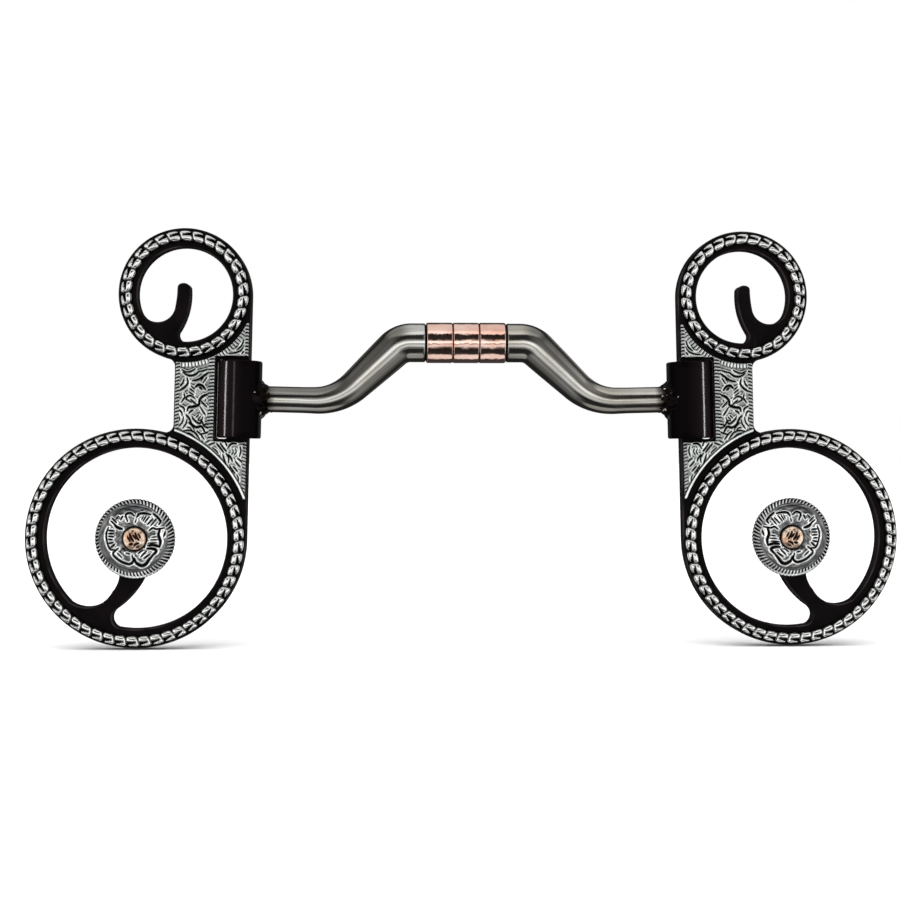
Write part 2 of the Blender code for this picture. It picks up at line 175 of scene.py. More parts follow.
def resampled(outline, spacing):
    """A closed outline with points at an even spacing."""
    closed = np.concatenate([outline, outline[:1]])
    along = np.concatenate([[0], np.cumsum(np.linalg.norm(np.diff(closed, axis=0), axis=1))])
    places = np.linspace(0, along[-1], int(along[-1] / spacing) + 1)[:-1]
    return np.stack([np.interp(places, along, closed[:, axis]) for axis in (0, 1)], axis=1)


def polar(radius, angle, *height):
    """Points at radii and angles round a centre, with their heights where these are given."""
    parts = (radius * np.cos(angle), radius * np.sin(angle), *height)
    return np.stack(parts, axis=2).reshape(-1, len(parts))


def around(steps):
    """Even angles round a circle, as one row."""
    return np.linspace(0, 2 * math.pi, steps, endpoint=False)[None, :]


def smoothstep(low, high, value):
    """0 below low, 1 above high, smooth between."""
    share = np.clip((value - low) / (high - low), 0, 1)
    return share * share * (3 - 2 * share)


# ---------------------------------------------------------------- meshes

def make_object(name, points, faces, matrix, dark=None, grain=None, flat_normal=None):
    """A closed mesh from points in millimetres, with optional darkness values (tarnish, painted shade and
    painted highlights) and grain values on each point.
    """
    mesh = bpy.data.meshes.new(name)
    mesh.from_pydata([tuple(point) for point in points], [], faces)
    for layer_name, values in (("dark", dark), ("grain", grain)):
        if values is not None:
            layer = mesh.attributes.new(layer_name, "FLOAT", "POINT")
            layer.data.foreach_set("value", np.asarray(values, np.float32))
    build = bmesh.new()
    build.from_mesh(mesh)
    bmesh.ops.remove_doubles(build, verts=build.verts, dist=0.0005)
    build.transform(matrix)
    bmesh.ops.recalc_face_normals(build, faces=build.faces)
    for face in build.faces:
        face.smooth = flat_normal is None or abs(face.normal.dot(flat_normal)) < 0.9995
    build.to_mesh(mesh)
    build.free()
    obj = bpy.data.objects.new(name, mesh)
    bpy.context.scene.collection.objects.link(obj)
    return obj


def finish(obj, node, material, stands_for=True):
    """Gives a piece its material, and its place among the CAD nodes."""
    obj.data.materials.append(material)
    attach(obj, BODY_OF[node])
    if stands_for:
        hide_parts(node)
    return obj


def grid_faces(rows, columns, wrap_rows):
    """Quads over a grid of points whose columns wrap round."""
    faces = []
    for row in range(rows if wrap_rows else rows - 1):
        low, high = row * columns, (row + 1) % rows * columns
        for column in range(columns):
            after = (column + 1) % columns
            faces.append((low + column, low + after, high + after, high + column))
    return faces


def turned(name, profile, steps, matrix, closed=False, shape=None):
    """A profile of (radius, height) swept round the h axis; shape(radius, angle, height) carves it."""
    profile = np.asarray(profile, float)
    angle = around(steps)
    radius = np.repeat(profile[:, :1], steps, axis=1)
    height = np.repeat(profile[:, 1:], steps, axis=1)
    dark = np.zeros_like(radius)
    if shape:
        radius, height, dark = shape(radius, angle, height)
    faces = grid_faces(len(profile), steps, closed)
    return make_object(name, polar(radius, angle, height), faces, matrix, dark.reshape(-1))


def corner(radius, height, rounding, start, steps=4):
    """A quarter round in a profile, from the start direction, turning clockwise."""
    return [tuple(point) for point in arc((radius, height), rounding, start, start - 90, steps)]


def slab(name, outlines, half, rounding, matrix):
    """A flat plate with holes and rounded edges, centred on h = 0."""
    curve = bpy.data.curves.new(name, "CURVE")
    curve.dimensions = "2D"
    curve.fill_mode = "BOTH"
    curve.extrude = half - rounding
    curve.bevel_depth = rounding
    curve.bevel_resolution = 2
    curve.offset = -rounding
    for outline in outlines:
        spline = curve.splines.new("POLY")
        spline.points.add(len(outline) - 1)
        for point, (u, v) in zip(spline.points, outline):
            point.co = (u, v, 0, 1)
        spline.use_cyclic_u = True
    shape = bpy.data.objects.new(name, curve)
    bpy.context.scene.collection.objects.link(shape)
    bpy.context.view_layer.update()
    mesh = bpy.data.meshes.new_from_object(shape.evaluated_get(bpy.context.evaluated_depsgraph_get()))
    points = [tuple(vertex.co) for vertex in mesh.vertices]
    faces = [tuple(face.vertices) for face in mesh.polygons]
    bpy.data.objects.remove(shape, do_unlink=True)
    return make_object(name, points, faces, matrix, flat_normal=Vector((0, 1, 0)))


# ---------------------------------------------------------------- engraving

def drawn(points, steps=5):
    """A smooth line through a few points."""
    points = np.asarray(points, float)
    if len(points) == 2:
        return points
    padded = np.concatenate([2 * points[:1] - points[1:2], points, 2 * points[-1:] - points[-2:-1]])
    line = []
    for before, first, last, after in zip(padded, padded[1:], padded[2:], padded[3:]):
        for share in np.arange(steps) / steps:
            line.append(0.5 * (
                2 * first + (last - before) * share + (2 * before - 5 * first + 4 * last - after) * share ** 2
                + (3 * first - before - 3 * last + after) * share ** 3
            ))
    return np.array(line + [points[-1]])


CUT_SPREAD = 1.14                       # widens every cut by the same share


def each_cut(*tables):
    """Every cut of the tables, with its half width."""
    return [(width, marks) for table in tables for width, lines in table.items() for marks in lines]


def carve(points, cuts, lip):
    """Depth, darkness and bright lips of engraved cuts, given as (half width, points)."""
    depth, dark, bright = np.zeros((3, len(points)))
    for cut_width, marks in cuts:
        line = drawn(marks)
        half_width = cut_width * CUT_SPREAD
        reach = half_width + 2 * lip
        low, high = line.min(axis=0) - reach, line.max(axis=0) + reach
        near = np.nonzero(((points >= low) & (points <= high)).all(axis=1))[0]
        if not len(near):
            continue
        first, step = line[:-1], np.diff(line, axis=0)
        offset = points[near][:, None] - first
        share = np.clip((offset * step).sum(axis=2) / (step * step).sum(axis=1), 0, 1)
        distance = np.linalg.norm(offset - share[..., None] * step, axis=2)
        nearest = distance.argmin(axis=1)
        along = (nearest + share[np.arange(len(near)), nearest]) / len(first)
        width = half_width * (1 - 0.40 * np.abs(2 * along - 1) ** 3)
        away = distance.min(axis=1)
        depth[near] = np.maximum(depth[near], 1 - smoothstep(0, 1.15, away / width))
        dark[near] = np.maximum(dark[near], 1 - smoothstep(0.70, 1.05, away / width))
        bright[near] = np.maximum(bright[near], 1 - smoothstep(0.7 * lip, 1.5 * lip, away - width))
    return depth, dark, bright


# ---------------------------------------------------------------- cheek outlines

def shifted(points, centre):
    """Points round a ring's centre, moved to the cheek's plane."""
    return np.asarray(points, float) + np.asarray(centre, float)


def plate_outline():
    """Two rings and the neck between them, all meeting the straight inner edge."""
    fillet_u = OUTER_EDGE + NECK_FILLET
    rise = math.sqrt((REIN_RADIUS + NECK_FILLET) ** 2 - (fillet_u - REIN_CENTRE[0]) ** 2)
    lower = (fillet_u, REIN_CENTRE[1] + rise)
    drop = math.sqrt((PURCHASE_RADIUS + NECK_FILLET) ** 2 - (fillet_u - PURCHASE_CENTRE[0]) ** 2)
    upper = (fillet_u, PURCHASE_CENTRE[1] - drop)
    rein_end = bearing(REIN_CENTRE, lower)
    purchase_start = bearing(PURCHASE_CENTRE, upper)
    return chain(
        arc(REIN_CENTRE, REIN_RADIUS, -180, rein_end, 120),
        arc(lower, NECK_FILLET, rein_end - 180, -180, 10),
        arc(upper, NECK_FILLET, 180, purchase_start + 180, 10),
        arc(PURCHASE_CENTRE, PURCHASE_RADIUS, purchase_start, 180, 84),
    )


def window_outline():
    """The window that the sleeve's outer wall passes through."""
    inner, outer, half, radius = WINDOW
    return chain(
        arc((outer - radius, half - radius), radius, 0, 90, 5),
        arc((inner + radius, half - radius), radius, 90, 180, 5),
        arc((inner + radius, radius - half), radius, 180, 270, 5),
        arc((outer - radius, radius - half), radius, 270, 360, 5),
    )


def arcs(points, steps):
    """Arcs that follow one another, each through the next two points."""
    return chain(*(arc_through(*points[2 * i:2 * i + 3], count) for i, count in enumerate(steps)))


def ring_opening(centre, radius, steps, inlet):
    """A ring's round opening, with what grows into it from its rim; the inlet runs clockwise."""
    inlet = shifted(inlet, centre)
    start, end = bearing(centre, inlet[-1]), bearing(centre, inlet[0]) - 360
    return chain(inlet, arc(centre, radius, start, end, steps)[1:-1])


def purchase_hole():
    """The purchase ring's opening, with the curl that rises from its lower outer edge."""
    return ring_opening(PURCHASE_CENTRE, PURCHASE_HOLE, 84, arcs((
        (13.05, -6.4), (8.7, -8.75), (3.0, -3.7), (2.6, -0.6), (2.5, 2.0), (2.2, 2.9), (1.4, 3.4), (0.1, 3.5),
        (-1.1, 2.9), (-1.5, 2.3), (-1.6, 1.6), (-1.1, -5.0), (1.75, -11.9), (1.7, -13.2), (0.5, -14.5),
    ), (20, 6, 6, 6, 5, 12, 8)))


def rein_hole():
    """The rein ring's opening, with the stem that carries the concho."""
    return ring_opening(REIN_CENTRE, REIN_HOLE, 110, chain(
        arcs(((19.5, -20.1), (14.0, -21.5), (6.8, -16.6), (4.9, -12.6), (5.0, -8.6)), (18, 8)),
        arc((0, 0), BOSS_RADIUS, -50, 215, 36),
        arcs(((-4.2, -8.2), (-0.8, -15.6), (5.4, -22.0), (6.7, -25.0), (4.8, -27.6)), (14, 10)),
    ))


OVERLAY_LEFT = INNER_EDGE + 0.5
OVERLAY_RIGHT = OUTER_EDGE - 0.45
OVERLAY_WINDOW = WINDOW[1] + 0.35
OVERLAY_GAP = WINDOW[2] + 0.8
OVERLAY_REIN_ARC = REIN_RADIUS + 1.2
OVERLAY_PURCHASE_ARC = PURCHASE_RADIUS + 0.5


def overlay_outline():
    """The neck between the rings, open round the sleeve's window."""
    tip = OVERLAY_LEFT + 0.7
    low_start = 180 - math.degrees(math.acos((REIN_CENTRE[0] - tip) / OVERLAY_REIN_ARC))
    low_end = math.degrees(math.acos((OVERLAY_RIGHT - REIN_CENTRE[0]) / OVERLAY_REIN_ARC))
    high_start = -math.degrees(math.acos((OVERLAY_RIGHT - PURCHASE_CENTRE[0]) / OVERLAY_PURCHASE_ARC))
    high_end = math.degrees(math.acos((PURCHASE_CENTRE[0] - tip) / OVERLAY_PURCHASE_ARC)) - 180
    low_arc = arc(REIN_CENTRE, OVERLAY_REIN_ARC, low_start, low_end, 60)
    high_arc = arc(PURCHASE_CENTRE, OVERLAY_PURCHASE_ARC, high_start, high_end, 60)
    return chain(low_arc, high_arc, [
        (OVERLAY_LEFT, high_arc[-1][1]), (OVERLAY_LEFT, OVERLAY_GAP), (OVERLAY_WINDOW, OVERLAY_GAP),
        (OVERLAY_WINDOW, -OVERLAY_GAP), (OVERLAY_LEFT, -OVERLAY_GAP), (OVERLAY_LEFT, low_arc[0][1]),
    ])


PITCH = 1.05                            # between neighbouring cuts of the borders
# Cuts of the graver in the cheek's plane: for each half width, the points that each cut passes through
NECK_CUTS = {
    0.21: (
        ((10, -0.4), (10.3, -0.8)), ((12, -5.1), (12.9, -6)), ((11.4, -5.6), (12.3, -6.6)),
    ),
    0.23: (
        ((9.8, 6.5), (11, 4.8)), ((10.6, 6.9), (11.7, 5.4)), ((13.4, 2.7), (14.6, 3.8)),
        ((13.5, 1.8), (15, 2.9)), ((13.7, 0.9), (15.2, 1.9)),
    ),
    0.26: (
        ((13.4, 9), (14.6, 8.3), (16, 7.9), (17.5, 8.6)), ((9.6, 9), (11.2, 8.4), (12.5, 8.2)),
        ((16.7, -5.9), (17, -7.4), (18, -8.8)), ((8.2, -8.6), (9.6, -7.9), (10.5, -8.5)),
        ((10.2, -12.6), (11.4, -11), (12.5, -10.1)),
    ),
    0.29: (
        ((13.3, -0.1), (14.6, 0.7), (15.7, 0.4), (15.9, -0.4), (14.4, -1.3)),
        ((9.6, -2.7), (10.5, -1.8), (11.4, -0.8)), ((10, -5.1), (10.9, -3.8), (11.7, -2.6)),
        ((13.8, -3.7), (14.5, -4.1), (15.1, -4.7)), ((15.6, -6.6), (15.9, -7.9), (16.8, -9.3)),
        ((16.5, -4.1), (16.7, -3.1), (18.2, -2.3)), ((17, -5.4), (17.6, -4.1), (19, -3.8)),
        ((17.8, -7), (18.2, -5.6), (19.2, -4.9)), ((16.7, 1.5), (16.5, 0.1), (17.5, -1.3)),
        ((11.5, -12.7), (12.9, -10.8), (14.6, -10), (16.5, -10.2)),
        ((12.5, -13.1), (13.8, -11.5), (15.3, -10.9), (16.9, -11.1)),
    ),
    0.31: (
        ((16.8, 5.9), (17.2, 4.5), (18, 3.6)), ((12.9, -1.9), (14.6, -0.5)),
        ((10.8, -5.8), (11.7, -7.8), (13.5, -6.6), (14.1, -5.6)),
    ),
    0.34: (
        ((12.3, 8.2), (13.7, 7.1), (15.5, 6.9), (17.2, 7.9)),
        ((9.2, 8.1), (10.8, 6.9), (12.5, 5.7), (14.3, 5.3)),
        ((15.9, 6.2), (15.6, 4.7), (16.5, 3.3), (18.2, 2.1)),
    ),
    0.39: (
        ((11.2, 2.8), (12, 3.4)),
        ((9.9, -10.6), (11.1, -8.7), (12.6, -9), (14.1, -8.1), (15, -6.2), (15.9, -5.3)),
    ),
    0.44: (
        ((10.2, 2.8), (11.1, 3.8), (12.3, 4.1), (13.3, 3.4)),
        ((8.7, 1.5), (10.8, 0.7), (11.9, -0.6), (12.1, -2), (13.8, -2.7), (15.2, -2.9), (15.6, -3.9)),
    ),
}
TRIANGLE_CUTS = {
    0.21: (
        ((0.7, -15.1), (0.3, -16.2), (0.9, -17.2)), ((1.6, -15.4), (1.2, -16.3), (1.7, -17.1)),
    ),
    0.23: (
        ((0, -23.3), (-0.5, -24.3), (-0.6, -25.5)), ((0.3, -25.7), (-0.5, -26.7), (-0.8, -27.9)),
        ((7.7, -15.1), (6.5, -16), (5.8, -16.9)), ((8.9, -14.4), (7.7, -13.9), (6.9, -13.6)),
        ((9.8, -13.6), (8.7, -13), (7.5, -12.6)), ((15.1, -7.5), (13.9, -8.7), (13.2, -10.1)),
        ((15.6, -9), (14.5, -9.3), (13.8, -10.5)),
    ),
    0.26: (
        ((3.9, -12.9), (3.5, -13.6), (3.2, -14.4)), ((0.6, -19.1), (-0.3, -20.1), (-1.1, -20.9)),
        ((-0.1, -18.2), (-1.1, -18.9), (-1.8, -19.7)), ((1.2, -20.7), (0.4, -21.5), (-0.3, -22.3)),
        ((1.7, -23.1), (0.7, -23.9), (0.4, -25.2)), ((11.3, -11.1), (9.8, -10.7), (8.6, -10.1)),
        ((8.9, -11.9), (8, -12.7), (6.5, -13)),
    ),
    0.29: (
        ((5.3, -13.6), (4.3, -15), (3.3, -16.1)), ((6.4, -13.8), (5.3, -15), (4.1, -16.5)),
        ((-0.8, -14.5), (-1.1, -16), (-0.7, -17.6)), ((3.4, -16.8), (2.6, -18.1), (2.6, -19.6)),
        ((2.6, -17.2), (1.8, -18.2), (1.4, -19.3)), ((2.3, -20.4), (1.4, -21.8), (0.5, -22.9)),
        ((12.3, -6.8), (11.1, -7), (10.4, -8.4), (8.7, -9.2), (7.7, -8.6)),
    ),
    0.31: (
        ((2.9, -15.2), (2.3, -14.2), (1.5, -13.6), (0.3, -13.7)), ((4.4, -17.2), (3.9, -18.8), (3.4, -20)),
    ),
}
CORNER_CUTS = {
    0.23: (
        ((-1.3, 14.8), (-0.6, 14.0)), ((-1.2, 20.6), (-0.8, 19.6)),
    ),
    0.26: (
        ((-1.3, 16.6), (-0.3, 15.0), (1.6, 14.2), (3.6, 14.0)), ((0.2, 17.4), (1.0, 16.2), (2.2, 15.4)),
    ),
    0.29: (
        ((-1.2, 18.6), (-0.6, 16.6), (0.8, 15.2)),
    ),
}
# Raised petals of the flower beside the sleeve: centre, reach, height
PETALS = (
    ((12.2, 3.1), 2.5, 0.09), ((15.2, 0.3), 2.3, 0.08), ((10.6, -2.6), 2.2, 0.09), ((12.7, -5.3), 2.5, 0.09),
    ((16.2, -8.6), 1.9, 0.06), ((17.0, 4.6), 1.7, 0.06),
)
# Tarnish, from 0 for bare metal to 1 for black
GROUND_TONE, PETAL_TONE = 0.74, 0.66
CONCHO_TONE, CONCHO_PETAL_TONE, CONCHO_BACK_TONE = 0.82, 0.78, 0.45
BORDER_TONE = 0.10
CORNER_PAINTED_HIGHLIGHT = 0.24                     # painted highlight: the corner above the sleeve is painted brighter
LIP_SHINE = 0.70                        # how far the lips of the overlay's cuts are polished
# Depth of the cuts, and width and rise of the bright lips beside them
OVERLAY_CUT, CONCHO_CUT, RIVET_CUT, BORDER_CUT = 0.30, 0.32, 0.34, 0.26
OVERLAY_LIP, CONCHO_LIP, RIVET_LIP = 0.38, 0.40, 0.30
LIP_RISE, RIVET_LIP_RISE = 0.07, 0.16


def groove(phase, share, blackened, full):
    """A repeating round groove: depth from 0 to 1 and darkness, for a phase that grows by 1 per cut."""
    across = np.abs((phase % 1.0) - 0.5) * 2
    return 1 - smoothstep(0, share, across), 1 - smoothstep(blackened * full, blackened, across)


def mounds(points, petals, soft, firm):
    """Height of the raised petals, and how far each point is on one."""
    rise, petal = np.zeros((2, len(points)))
    for centre, reach, lift in petals:
        away = np.linalg.norm(points - np.array(centre), axis=1) / reach
        rise = np.maximum(rise, lift * np.clip(1 - away ** 2, 0, 1))
        petal = np.maximum(petal, smoothstep(soft, firm, away))
    return rise, petal


def engrave(points):
    """Height change and tarnish over the overlay's face, with a painted highlight in the corner above the
    sleeve.
    """
    cut, black, bright = carve(points, each_cut(NECK_CUTS, TRIANGLE_CUTS, CORNER_CUTS), OVERLAY_LIP)
    u, v = points.T
    rise, petal = mounds(points, PETALS, 1.1, 0.7)
    stipple = np.sin(5.1 * u + 2.2 * np.sin(1.9 * v)) * np.sin(4.7 * v + 1.8 * np.sin(2.3 * u))
    tone = GROUND_TONE + (PETAL_TONE - GROUND_TONE) * petal + 0.06 * stipple
    # Painted highlight in the corner above the sleeve
    tone -= CORNER_PAINTED_HIGHLIGHT * smoothstep(OVERLAY_GAP, OVERLAY_GAP + 2, v)
    height = rise - OVERLAY_CUT * cut + LIP_RISE * bright * (1 - cut) - 0.015 * stipple
    dark = np.maximum(tone * (1 - LIP_SHINE * bright), black)
    from_rein = np.linalg.norm(points - np.array(REIN_CENTRE), axis=1) - OVERLAY_REIN_ARC
    from_purchase = np.linalg.norm(points - np.array(PURCHASE_CENTRE), axis=1) - OVERLAY_PURCHASE_ARC
    turn = np.arctan2(v - PURCHASE_CENTRE[1], u - PURCHASE_CENTRE[0])
    beside = np.abs(v) < OVERLAY_GAP
    borders = (
        # distance into the border, its width, and the phase of its cuts
        (from_purchase, 1.6, turn * (OVERLAY_PURCHASE_ARC + 1) / PITCH),
        (OVERLAY_RIGHT - u, 1.5, v / PITCH + 0.30 * u),
        (np.where(beside, 99, u - OVERLAY_LEFT), 1.25, v / PITCH - 0.35 * u * (v < 0)),
        (np.where(beside, u - OVERLAY_WINDOW, 99), 1.9 + 0.3 * np.sin(v * 0.8), v / PITCH + 0.12 * u),
    )
    for into, width, phase in borders:
        notch, soot = groove(phase, 0.90, 0.48, 0.6)
        held = smoothstep(width, width - 0.15, into)
        height = height * (1 - held) - BORDER_CUT * notch * held
        dark = dark * (1 - held) + np.maximum(BORDER_TONE, soot) * held
    rim = smoothstep(1.0, 0.85, from_rein)
    rim_line = smoothstep(0.26, 0.12, np.abs(from_rein - 1.0))
    height = height * (1 - rim) + 0.06 * rim - 0.2 * rim_line
    dark = np.maximum(dark * (1 - rim), rim_line)
    return height, dark


def inside(outline, points):
    """Which flat points lie inside a closed outline."""
    hits = np.zeros(len(points), bool)
    for (ax, ay), (bx, by) in zip(outline, np.roll(outline, -1, axis=0)):
        crosses = (ay > points[:, 1]) != (by > points[:, 1])
        if ay != by:
            hits ^= crosses & (points[:, 0] < ax + (points[:, 1] - ay) * (bx - ax) / (by - ay))
    return hits


def edge_distance(outline, points):
    """Distance of flat points to a closed outline."""
    best = np.full(len(points), 1e9)
    for first, last in zip(outline, np.roll(outline, -1, axis=0)):
        step = last - first
        share = np.clip(((points - first) @ step) / (step @ step), 0, 1)
        best = np.minimum(best, np.linalg.norm(points - first - share[:, None] * step, axis=1))
    return best


def relief(name, outline, thickness, spacing, matrix):
    """A flat-backed plate whose front is engraved, with softened edges."""
    border = resampled(outline, spacing * 1.2)
    count = len(border)
    low, high = border.min(axis=0), border.max(axis=0)
    inner = np.array([
        (u, v) for i, v in enumerate(np.arange(low[1], high[1], spacing * 0.87))
        for u in np.arange(low[0] + (i % 2) * spacing / 2, high[0], spacing)
    ])
    inner = inner[inside(border, inner)]
    inner = inner[edge_distance(border[::2], inner) > spacing * 0.5]
    flat = np.concatenate([border, inner])
    edges = [(i, (i + 1) % count) for i in range(count)]
    made, _, faces, origins, _, _ = delaunay_2d_cdt([Vector(p) for p in flat], edges, [], 1, 1e-5)
    flat = np.array([tuple(point) for point in made])
    change, dark = engrave(flat)
    away = edge_distance(border[::2], flat)
    inland = smoothstep(0.06, 0.24, away)
    height = thickness + change * inland - 0.18 * np.clip(1 - away / 0.28, 0, 1) ** 2
    dark = np.maximum(dark, 0.9 * smoothstep(0.20, 0.05, away))
    total = len(flat)
    place_of = {source: index for index, sources in enumerate(origins) for source in sources}
    ring = [place_of[i] for i in range(count)]
    points = np.concatenate([
        np.column_stack([flat, height]), np.column_stack([flat[ring], np.zeros(count)]),
    ])
    faces = [tuple(face) for face in faces]
    for i in range(count):
        after = (i + 1) % count
        faces.append((ring[i], total + i, total + after, ring[after]))
    faces.append(tuple(total + i for i in range(count)))
    return make_object(name, points, faces, matrix, np.concatenate([dark, np.ones(count)]))


# ---------------------------------------------------------------- turned and twisted trim

ROPE_HALF_WIDTH = 1.8
ROPE_HEIGHT = 1.9
ROPE_CORE_HEIGHT = 0.70
ROPE_STEPS = 20                         # along each bead, and across the rope


def rope(name, outer, beads, matrix):
    """Twisted-wire trim bent round a ring: slanted beads, each parted by a cleft, over a dark core."""
    centre_line = outer - ROPE_HALF_WIDTH
    columns = beads * ROPE_STEPS
    turn = (np.arange(columns) / ROPE_STEPS)[None, :]
    across = -np.cos(np.linspace(0, math.pi, ROPE_STEPS))[:, None]
    arch = (1 - across ** 4) ** 0.5
    pitch = 2 * math.pi * centre_line / beads
    side = across * ROPE_HALF_WIDTH * np.ones_like(turn)
    sway = 0.20 * np.sin(turn * 2.4) + 0.14 * np.sin(turn * 5.3 + 1.0)
    along = ((turn + (0.32 + 0.10 * sway) * side / pitch + 0.05 * sway) % 1.0 - 0.5) * pitch
    spread = np.abs(along / (pitch * 0.47)) ** 2.6 + np.abs(side / ROPE_HALF_WIDTH) ** 4.0
    dome = np.clip(1 - spread, 0, 1) ** 0.38
    hollow = 0.36 + 0.15 * sway + 0.20 * along
    open_width = 0.19 + 0.14 * np.clip(along + 1.1, 0, 2.4)
    cleft = smoothstep(open_width + 0.12, open_width - 0.06, np.abs(side - hollow))
    cleft *= smoothstep(-1.30, -0.90, along)
    height = arch * (ROPE_CORE_HEIGHT + (ROPE_HEIGHT - ROPE_CORE_HEIGHT) * dome) - 0.80 * cleft * dome
    height = np.maximum(height, 0.02 * arch)
    dark = np.maximum(smoothstep(0.60, 0.32, dome), smoothstep(0.25, 0.70, cleft))
    radius = centre_line + side * (0.95 + 0.05 * dome)
    points = polar(radius, 2 * math.pi * turn / beads, height)
    return make_object(name, points, grid_faces(ROPE_STEPS, columns, True), matrix, dark.reshape(-1))


# The concho's cuts and petals are placed round its centre, and so are the rivet's cuts
CONCHO_CUTS = {
    0.21: (
        ((-2.5, 6.8), (-2, 5.7)), ((-0.4, 5.8), (-0.1, 4.8)), ((-6.5, 0.8), (-5.1, 0.6)),
        ((-6.8, -0.1), (-4.7, -0.2)), ((-6.5, -1), (-4, -1.2)),
    ),
    0.23: (
        ((-4.2, 6.7), (-2.9, 4.9)), ((-3.3, 6.9), (-2.4, 5.3)), ((-5.2, 6.1), (-3.7, 4.3)),
        ((-6.2, 6.1), (-4.7, 4)), ((1.2, -4.5), (2.4, -4.2)), ((3.5, -5.6), (4.9, -4.3)),
        ((-2.6, -3.1), (-1.2, -4.3)),
    ),
    0.26: (
        ((4.8, 6.6), (5.7, 5.7)), ((6, 1.4), (7.6, 1.4)), ((6, 0.5), (7.6, 0.6)),
        ((6.4, -0.4), (7.6, -0.3)), ((-4.7, -4.3), (-2.9, -5.8)), ((-3.7, -3.4), (-2, -5.3)),
    ),
    0.29: (
        ((5.3, 4.7), (6.7, 6)), ((5.6, 4), (7, 5.1)), ((6, 2.2), (7.6, 2.3)), ((6.2, -1.2), (7.5, -1.5)),
        ((5.7, -1.7), (6.8, -2.8)), ((-8.5, 3.4), (-6.5, 3), (-5.3, 3.3), (-4.3, 2.5)),
        ((-8.9, 2.3), (-8.5, 0.8)),
    ),
    0.31: (
        ((3.6, 6.6), (4.2, 5.6)), ((7.7, 3.2), (8.3, 1.2), (7.9, -1.5), (7, -3.2), (5.7, -3.4)),
    ),
    0.34: (
        ((0.2, 6.8), (1.2, 7.6), (2.4, 7.4), (2.7, 6.8), (2.1, 5.1)),
        ((-7, 4.4), (-7.4, 5.3), (-6.6, 6.5), (-5.3, 7.5)),
    ),
    0.36: (
        ((-4.6, 7.3), (-2.8, 7.6), (-1.2, 7.4), (-0.5, 6.4)),
        ((4.7, -2.9), (6.2, -4.5), (5.1, -5.8), (3.5, -6.9), (1.7, -7.5), (0.6, -7.2), (0.2, -6.3),
         (0.6, -4.9)),
    ),
    0.44: (
        ((5.9, 4), (4.9, 3.2), (3.7, 2.8)), ((-5.5, -4.7), (-6.5, -3.4), (-5.3, -2.8), (-3.8, -2.8)),
        ((-7.4, -2.2), (-5.6, -1.7), (-4, -1.9)),
    ),
    0.47: (
        ((-0.1, -5.8), (-0.7, -7.1), (-2.2, -7.9), (-3.5, -7.4), (-4.4, -6.1), (-5.5, -4.7)),
        ((-7.4, 3), (-7, 1.4), (-7.6, -0.6), (-7.4, -2.1)),
    ),
}
CONCHO_PETALS = (
    # centre, reach, height
    ((-2.5, 6.3), 2.7, 0.24), ((1.6, 6.4), 2.3, 0.24), ((5.4, 4.6), 2.4, 0.24), ((6.6, -0.4), 2.5, 0.24),
    ((3.0, -5.6), 2.8, 0.26), ((-2.6, -5.4), 2.8, 0.26), ((-6.0, -0.4), 2.6, 0.24), ((-5.6, 4.0), 2.2, 0.18),
)
CONCHO_SPREAD = 1.04                    # the petals and cuts, grown from the centre
CONCHO_ROUNDING = 0.35
MILLED_NOTCHES = 66
MILLED_START = 9.95
COLLAR_RADIUS = 3.66                    # the groove round the rivet's head, blackened as painted shade of the gap
SHANK_RADIUS = 1.6


def concho_relief(radius, angle):
    """Height change and tarnish of the concho's face: cut petals, a ring round them, a milled edge; with a
    painted highlight along the bottom of the rim and painted shade round the rivet's head.
    """
    points = polar(radius, angle)
    cuts = carve(points / CONCHO_SPREAD, each_cut(CONCHO_CUTS), CONCHO_LIP)
    raised = mounds(points, CONCHO_PETALS, 1.15, 0.8)
    cut, black, bright, rise, petal = (value.reshape(radius.shape) for value in (*cuts, *raised))
    stipple = np.sin(9 * angle + 1.9 * radius) * np.sin(3.1 * radius + 2 * np.sin(5 * angle))
    tone = CONCHO_TONE + (CONCHO_PETAL_TONE - CONCHO_TONE) * petal + 0.10 * stipple
    ring = smoothstep(0.30, 0.12, np.abs(radius - MILLED_START + 0.2))
    phase = angle * MILLED_NOTCHES / (2 * math.pi) + 0.35 * (radius - 11)
    broad = 0.56 + 0.22 * smoothstep(10.6, 11.8, radius)
    mill_depth, mill_dark = groove(phase, 0.95, broad, 0.75)
    inward = 0.5 - 0.5 * np.cos(angle - 0.5)
    start = MILLED_START + 1.1 * (1 - inward)
    milled = smoothstep(start, start + 0.25, radius)
    # Painted highlight: along the bottom of the rim its darkness and edge notches are taken away
    polished = smoothstep(0.55, 0.85, -np.sin(angle)) * smoothstep(11.5, 11.7, radius)
    # Painted shade: the groove round the rivet's head is filled black
    collar_gap_shade = smoothstep(0.34, 0.20, np.abs(radius - COLLAR_RADIUS))
    height = rise - CONCHO_CUT * cut + LIP_RISE * bright * (1 - cut) - 0.03 * stipple
    height = height * (1 - milled) - 0.30 * mill_depth * milled - 0.2 * ring - 0.2 * collar_gap_shade
    dark = np.maximum(tone * (1 - bright), black)
    dark = dark * (1 - milled) + np.maximum(BORDER_TONE, mill_dark) * milled
    dark = np.maximum.reduce([dark, 0.6 * ring * inward, collar_gap_shade]) * (1 - polished)
    return height, dark, mill_depth * (1 - polished)


